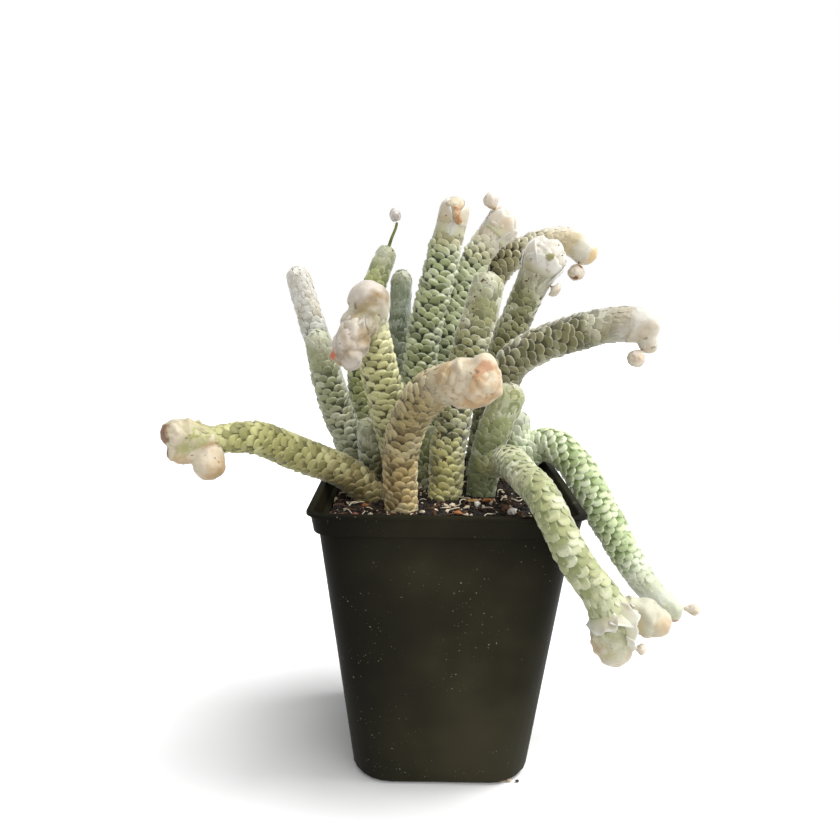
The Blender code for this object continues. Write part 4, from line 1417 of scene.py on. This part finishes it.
class AVONIA_OT_loose(bpy.types.Operator):
    """Perlite, pebbles, bark chips and a dry leaf on the mix"""
    bl_idname = "avonia.loose"
    bl_label = "Loose Pieces"

    def execute(self, context):
        chalk = tinted_material("perlite_chalk", (0.93, 0.91, 0.87), (0.70, 0.66, 0.60), 900, 0.95,
                                0.6, 0.5, 0.7, spot=(0.36, 0.32, 0.28), spot_level=0.66)
        red = tinted_material("pebble_red", (0.52, 0.30, 0.22), (0.36, 0.20, 0.15), 700, 0.8)
        grey = tinted_material("pebble_speckled", (0.55, 0.53, 0.48), (0.34, 0.33, 0.30), 900, 0.8)
        bark = tinted_material("bark_chip", (0.70, 0.46, 0.27), (0.40, 0.24, 0.14), 600, 0.9, 0.6)
        leaf = tinted_material("leaf_dry", (0.72, 0.58, 0.40), (0.46, 0.33, 0.20), 500, 0.8)
        for start, finish, slot, rough in (("perlite", chalk, "perlite_white", 0.35),
                                           ("red_pebble", red, "bark_brown", 0.2),
                                           ("grey_pebble", grey, "pebble_grey", 0.2),
                                           ("bark_chip", bark, "bark_brown", 0.25),
                                           ("dry_leaf", leaf, "bark_brown", 0.2)):
            for node, seed in nodes_named(start):
                piece = refined(node, node + "_rough", finish, 0.25 * MM, rough * MM, 1.1, seed)
                given_to(piece, node, slot)
        return {"FINISHED"}


# --------------------------------------------------------------------- pot

def pot_material(settings):
    """Black moulded plastic, lighter mid-wall from dust and painted light, with lime specks and
    scuffs.
    """
    made, tree, shader = material("moulded_plastic", 0.42)
    cloud = mottle(tree, 26.0, 3.0, 0.55)
    # a veil of dust and painted light in the middle of each wall, shifted 4 mm towards the lit
    # right side, fainter on the rim
    place = add(tree, "ShaderNodeTexCoord").outputs["Object"]
    spot = add(tree, "ShaderNodeSeparateXYZ", {0: place}).outputs
    off = maths(tree, "MINIMUM", maths(tree, "ABSOLUTE", maths(tree, "ADD", spot[0], -4 * MM)),
                maths(tree, "ABSOLUTE", spot[1]))
    veil = times(tree, fade(tree, cloud, 0.30, 0.68, 0.35, 1.0),
                 times(tree, fade(tree, off, 6 * MM, 34 * MM, 1.0, 0.10),
                       fade(tree, spot[2], POT_HIGH.z - 16 * MM, POT_HIGH.z - 6 * MM, 1.0, 0.55)))
    shade = blend(tree, veil, daylight(settings.plastic), daylight(settings.veil))
    specks = times(tree, fade(tree, mottle(tree, 2100.0, 0.0, 0.3), 0.80, 0.83),
                   fade(tree, mottle(tree, 60.0, 2.0, 0.5, (5, 3, 1)), 0.42, 0.70), 0.7)
    shade = blend(tree, specks, shade, daylight(settings.dust))
    scuffs = fade(tree, mottle(tree, 260.0, 2.0, 0.5, (1, 7, 3)), 0.74, 0.80, 0.0, 0.25)
    shade = blend(tree, scuffs, shade, daylight(settings.dust))
    tree.links.new(shade, shader.inputs["Base Color"])
    shader.inputs["Specular IOR Level"].default_value = 0.07
    shader.inputs["Specular Tint"].default_value = (1.0, 0.95, 0.82, 1.0)
    tree.links.new(fade(tree, cloud, 0.3, 0.7, 0.38, 0.55), shader.inputs["Roughness"])
    finish_bump(tree, shader, mottle(tree, 900.0, 3.0), 0.25, 0.1 * MM)
    return made


class AVONIA_OT_pot(bpy.types.Operator):
    """The square nursery pot"""
    bl_idname = "avonia.pot"
    bl_label = "Pot"

    def execute(self, context):
        settings = context.scene.avonia_pot
        mesh = merged("pot")
        for edge in mesh.edges:
            edge.smooth = len(edge.link_faces) == 2 and edge.calc_face_angle() < settings.crease
        given_to(mesh_object("pot_shell", mesh, pot_material(settings)), "pot", "black_plastic")
        return {"FINISHED"}


# --------------------------------------------------------------------- mix

# The mix is hidden below this level, where it meets the walls.
UNSEEN_MIX = MIX_HIGH.z - 4 * MM


def mix_material(settings):
    """Damp mix: dark grains, drier crumbs and a few pale ones, by their tone."""
    made, tree, shader = material("damp_mix", 0.95)
    tone = attribute(tree, "tone")
    damp = mottle(tree, 700.0, 4.0, 0.6)
    shade = blend(tree, fade(tree, damp, 0.40, 0.66), daylight(settings.peat),
                  daylight(tuple(0.5 * c for c in settings.peat)))
    shade = blend(tree, fade(tree, tone, 0.55, 0.90), shade, daylight(settings.crumb))
    shade = blend(tree, fade(tree, tone, 0.87, 0.89), shade, daylight(settings.grit))
    tree.links.new(shade, shader.inputs["Base Color"])
    finish_bump(tree, shader, damp, 0.8, 0.6 * MM)
    return made


def grains_tree():
    """Scatters grains over a surface, none too close to the next."""
    tree, given, result = scatter_tree("grains", [
        ("Shapes", "Collection", None), ("Material", "Material", None),
        ("Spacing", "Float", 0.001), ("Size", "Float", 0.001), ("Seed", "Int", 1)])
    seed = given["Seed"]
    dots = add(tree, "GeometryNodeDistributePointsOnFaces",
               {"Mesh": given["Geometry"], "Distance Min": given["Spacing"],
                "Density Max": 2500000.0, "Seed": seed}, distribute_method="POISSON")
    turn = chance(tree, (0.0, 0.0, 0.0), (6.3, 6.3, 6.3), seed, 1, "FLOAT_VECTOR")
    turn = add(tree, "FunctionNodeEulerToRotation", {0: turn})
    # most grains are small
    size = maths(tree, "POWER", chance(tree, 0.0, 1.0, seed, 2), 3.0)
    size = times(tree, plus(tree, size, 1.5, 0.55), given["Size"])
    squash = chance(tree, (0.8, 0.8, 0.55), (1.25, 1.25, 0.9), seed, 3, "FLOAT_VECTOR")
    repeat_shapes(tree, given, result, GRAINS, 4, dots.outputs["Points"], turn.outputs[0],
                  vectors(tree, "SCALE", squash, size))
    return tree


def fibre_path(surface, rng, half):
    """One bent fibre on the mix: its middle and its way at each step, width and tone."""
    x, y = rng.uniform(-half, half), rng.uniform(-half, half)
    heading = rng.uniform(0, math.tau)
    bend = rng.uniform(-0.5, 0.5)
    width = rng.uniform(0.10, 0.26) * MM
    tone = rng.choice((0.2, 0.75, 0.85, 0.93, 1.0))
    path = []
    stride = 0.8 * MM
    for step in range(6):
        hit = surface.ray_cast(Vector((x, y, 0.2)), Vector((0, 0, -1)))
        if hit[0] is None or hit[0].z < UNSEEN_MIX:
            break
        lift = (0.5 + 0.5 * math.sin(step)) * 0.5 * MM
        path.append((Vector((x, y, hit[0].z + lift + 0.35 * MM)), heading))
        heading += bend
        x += math.cos(heading) * stride
        y += math.sin(heading) * stride
        if abs(x) > half or abs(y) > half:
            break
    return path, width, tone


def fibre_mesh(surface, settings):
    """Short bent fibres on the mix, each a thin closed tube with four sides."""
    rng = random.Random(settings.seed)
    mesh = bmesh.new()
    layer = mesh.verts.layers.float.new("tone")
    for _ in range(settings.fibres):
        path, width, tone = fibre_path(surface, rng, POT_HIGH.x - 4.5 * MM)
        if len(path) < 3:
            continue
        upward = Vector((0, 0, width))
        loops = []
        for middle, heading in path:
            across = Vector((-math.sin(heading), math.cos(heading), 0)) * width
            corners = (middle + across, middle + upward, middle - across, middle - upward)
            loops.append([mesh.verts.new(corner) for corner in corners])
            for vert in loops[-1]:
                vert[layer] = tone
        close_tube(mesh, loops)
    bmesh.ops.recalc_face_normals(mesh, faces=mesh.faces)
    return mesh


def foot_crumbs(finish, settings):
    """A few crumbs of mix that fell beside the pot's front right foot, at a place in mm."""
    heap = (17.5, -22.4)
    rng = random.Random(settings.seed + 3)
    mesh = bmesh.new()
    tone = mesh.verts.layers.float.new("tone")
    for k in range(9):
        # three are large
        size = rng.uniform(0.8, 1.5) * MM * (1.6 if k < 3 else 0.8)
        place = Vector((rng.gauss(heap[0], 1.8), heap[1] - rng.uniform(0.0, 1.0), 0)) * MM
        place.z = 0.62 * size
        start = Vector((k * 3.1, 0, 0))
        for vert in bmesh.ops.create_icosphere(mesh, subdivisions=2, radius=0.5 * size)["verts"]:
            rough = 1 + 0.5 * noise.noise(vert.co / size * 2.6 + start)
            vert.co = Vector((vert.co.x * 1.2, vert.co.y, vert.co.z * 0.8)) * rough + place
            vert[tone] = (0.88, 0.97, 0.75)[k % 3]
    return mesh_object("floor_crumbs", mesh, finish)


class AVONIA_OT_mix(bpy.types.Operator):
    """The potting mix with its grains, fibres and crumbs"""
    bl_idname = "avonia.mix"
    bl_label = "Potting Mix"

    def execute(self, context):
        settings = context.scene.avonia_mix
        finish = mix_material(settings)
        for holder in NODES["potting_mix"].material_slots:
            holder.material = finish
        top = merged("potting_mix")
        surface = BVHTree.FromBMesh(top)
        unseen = [face for face in top.faces
                  if face.normal.z < 0.5 or face.calc_center_median().z < UNSEEN_MIX]
        bmesh.ops.delete(top, geom=unseen, context="FACES")
        grains = mesh_object("mix_grains", top)
        shapes = shape_set("grain_shapes", [lump("grain_" + str(k), k + 1) for k in range(GRAINS)])
        grown(grains, grains_tree(), Shapes=shapes, Material=finish, Spacing=settings.spacing,
              Size=settings.grain, Seed=settings.seed)
        drop_set(shapes)
        fibres = mesh_object("mix_fibres", fibre_mesh(surface, settings), finish)
        for piece in (grains, fibres, foot_crumbs(finish, settings)):
            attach(piece, BODY)
        return {"FINISHED"}


# ------------------------------------------------------------------- stage

def floor_of(settings):
    """The pale board that the pot stands on."""
    finish, tree, shader = material("white_board", 0.9)
    shade = blend(tree, mottle(tree, 3.0, 2.0), (0.955, 0.955, 0.955), (0.965, 0.965, 0.965))
    # the board throws less light back up than it shows
    seen = add(tree, "ShaderNodeLightPath").outputs["Is Camera Ray"]
    shade = blend(tree, seen, (settings.bounce,) * 3, shade)
    tree.links.new(shade, shader.inputs["Base Color"])
    shader.inputs["Specular IOR Level"].default_value = 0.1
    mesh = bmesh.new()
    bmesh.ops.create_grid(mesh, x_segments=8, y_segments=8, size=settings.floor / 2)
    return mesh_object("floor", mesh, finish)


def room_of(settings):
    """A white room that gives even light from all round."""
    world = bpy.data.worlds.new("bright_room")
    world.use_nodes = True
    tree = world.node_tree
    sky = tree.nodes["Background"]
    feed(tree, sky.inputs["Color"], (1.0, 1.0, 1.0))
    seen = add(tree, "ShaderNodeLightPath").outputs["Is Camera Ray"]
    feed(tree, sky.inputs["Strength"], plus(tree, seen, 1.0 - settings.fill, settings.fill))
    return world


def lamps_of(settings):
    """A broad lamp at the front right and a tall window in strips on the right."""
    lamps = [("room_light", settings.room, settings.breadth, Vector((0.8, -0.6, 0.45)))]
    for k in range(settings.strips):
        rise = settings.height + (k - (settings.strips - 1) / 2) * settings.strip
        lamps.append(("window_light", settings.window / settings.strips, settings.strip * 1.8,
                      Vector((math.cos(rise), 0.08 * math.cos(rise), math.sin(rise)))))
    for k, (name, energy, spread, source) in enumerate(lamps):
        lamp = bpy.data.lights.new(name, "SUN")
        lamp.energy = energy
        lamp.angle = spread
        link(name, lamp).matrix_world = (
            Matrix.Translation((0.5, 0.0, 0.1 + 0.1 * k))
            @ (-source).to_track_quat("-Z", "Y").to_matrix().to_4x4())


def camera_of(settings):
    """Looks a little down at the plant from the front."""
    lens = bpy.data.cameras.new("camera")
    lens.sensor_width = 36.0
    lens.lens = settings.lens
    lens.clip_start = 10 * MM
    camera = link("camera", lens)
    camera.matrix_world = (Matrix.Translation(settings.stand)
                           @ Matrix.Rotation(settings.pitch, 4, "X")
                           @ Matrix.Rotation(settings.roll, 4, "Z"))
    return camera


class AVONIA_OT_stage(bpy.types.Operator):
    """Pale floor, soft studio light and the camera"""
    bl_idname = "avonia.stage"
    bl_label = "Stage"

    def execute(self, context):
        settings = context.scene.avonia_stage
        floor = floor_of(settings)
        lamps_of(settings)
        context.scene.world = room_of(settings)
        context.scene.camera = camera_of(settings)
        context.scene.view_settings.view_transform = "Standard"
        return {"FINISHED"}


# ------------------------------------------------------------------- panel

class AVONIA_PT_panel(bpy.types.Panel):
    """Lists the settings and the steps that build the plant"""
    bl_idname = "AVONIA_PT_panel"
    bl_label = "Potted Avonia"
    bl_space_type = "VIEW_3D"
    bl_region_type = "UI"
    bl_category = "Avonia"

    def draw(self, context):
        layout = self.layout
        for prop, (title, _) in SETTINGS.items():
            box = layout.box()
            box.label(text=title)
            settings = getattr(context.scene, prop)
            for label in settings.bl_rna.properties.keys():
                if label not in ("rna_type", "name"):
                    box.prop(settings, label)
        for step in STEPS:
            layout.operator("avonia." + step)


SETTINGS = {"avonia_stems": ("Stems", AvoniaStemSettings),
            "avonia_mix": ("Potting mix", AvoniaMixSettings),
            "avonia_pot": ("Pot", AvoniaPotSettings),
            "avonia_stage": ("Stage", AvoniaStageSettings)}
STEPS = ("stage", "pot", "mix", "loose", "stems", "flowers", "capsules")
CLASSES = (AvoniaStemSettings, AvoniaMixSettings, AvoniaPotSettings, AvoniaStageSettings,
           AVONIA_OT_stage, AVONIA_OT_pot, AVONIA_OT_mix, AVONIA_OT_loose, AVONIA_OT_stems,
           AVONIA_OT_flowers, AVONIA_OT_capsules, AVONIA_PT_panel)


def register():
    for item in CLASSES:
        bpy.utils.register_class(item)
    for prop, (_, kind) in SETTINGS.items():
        setattr(bpy.types.Scene, prop, PointerProperty(type=kind))


def unregister():
    for prop in SETTINGS:
        delattr(bpy.types.Scene, prop)
    for item in reversed(CLASSES):
        bpy.utils.unregister_class(item)


def main():
    register()
    for step in STEPS:
        getattr(bpy.ops.avonia, step)()


if __name__ == "__main__":
    main()
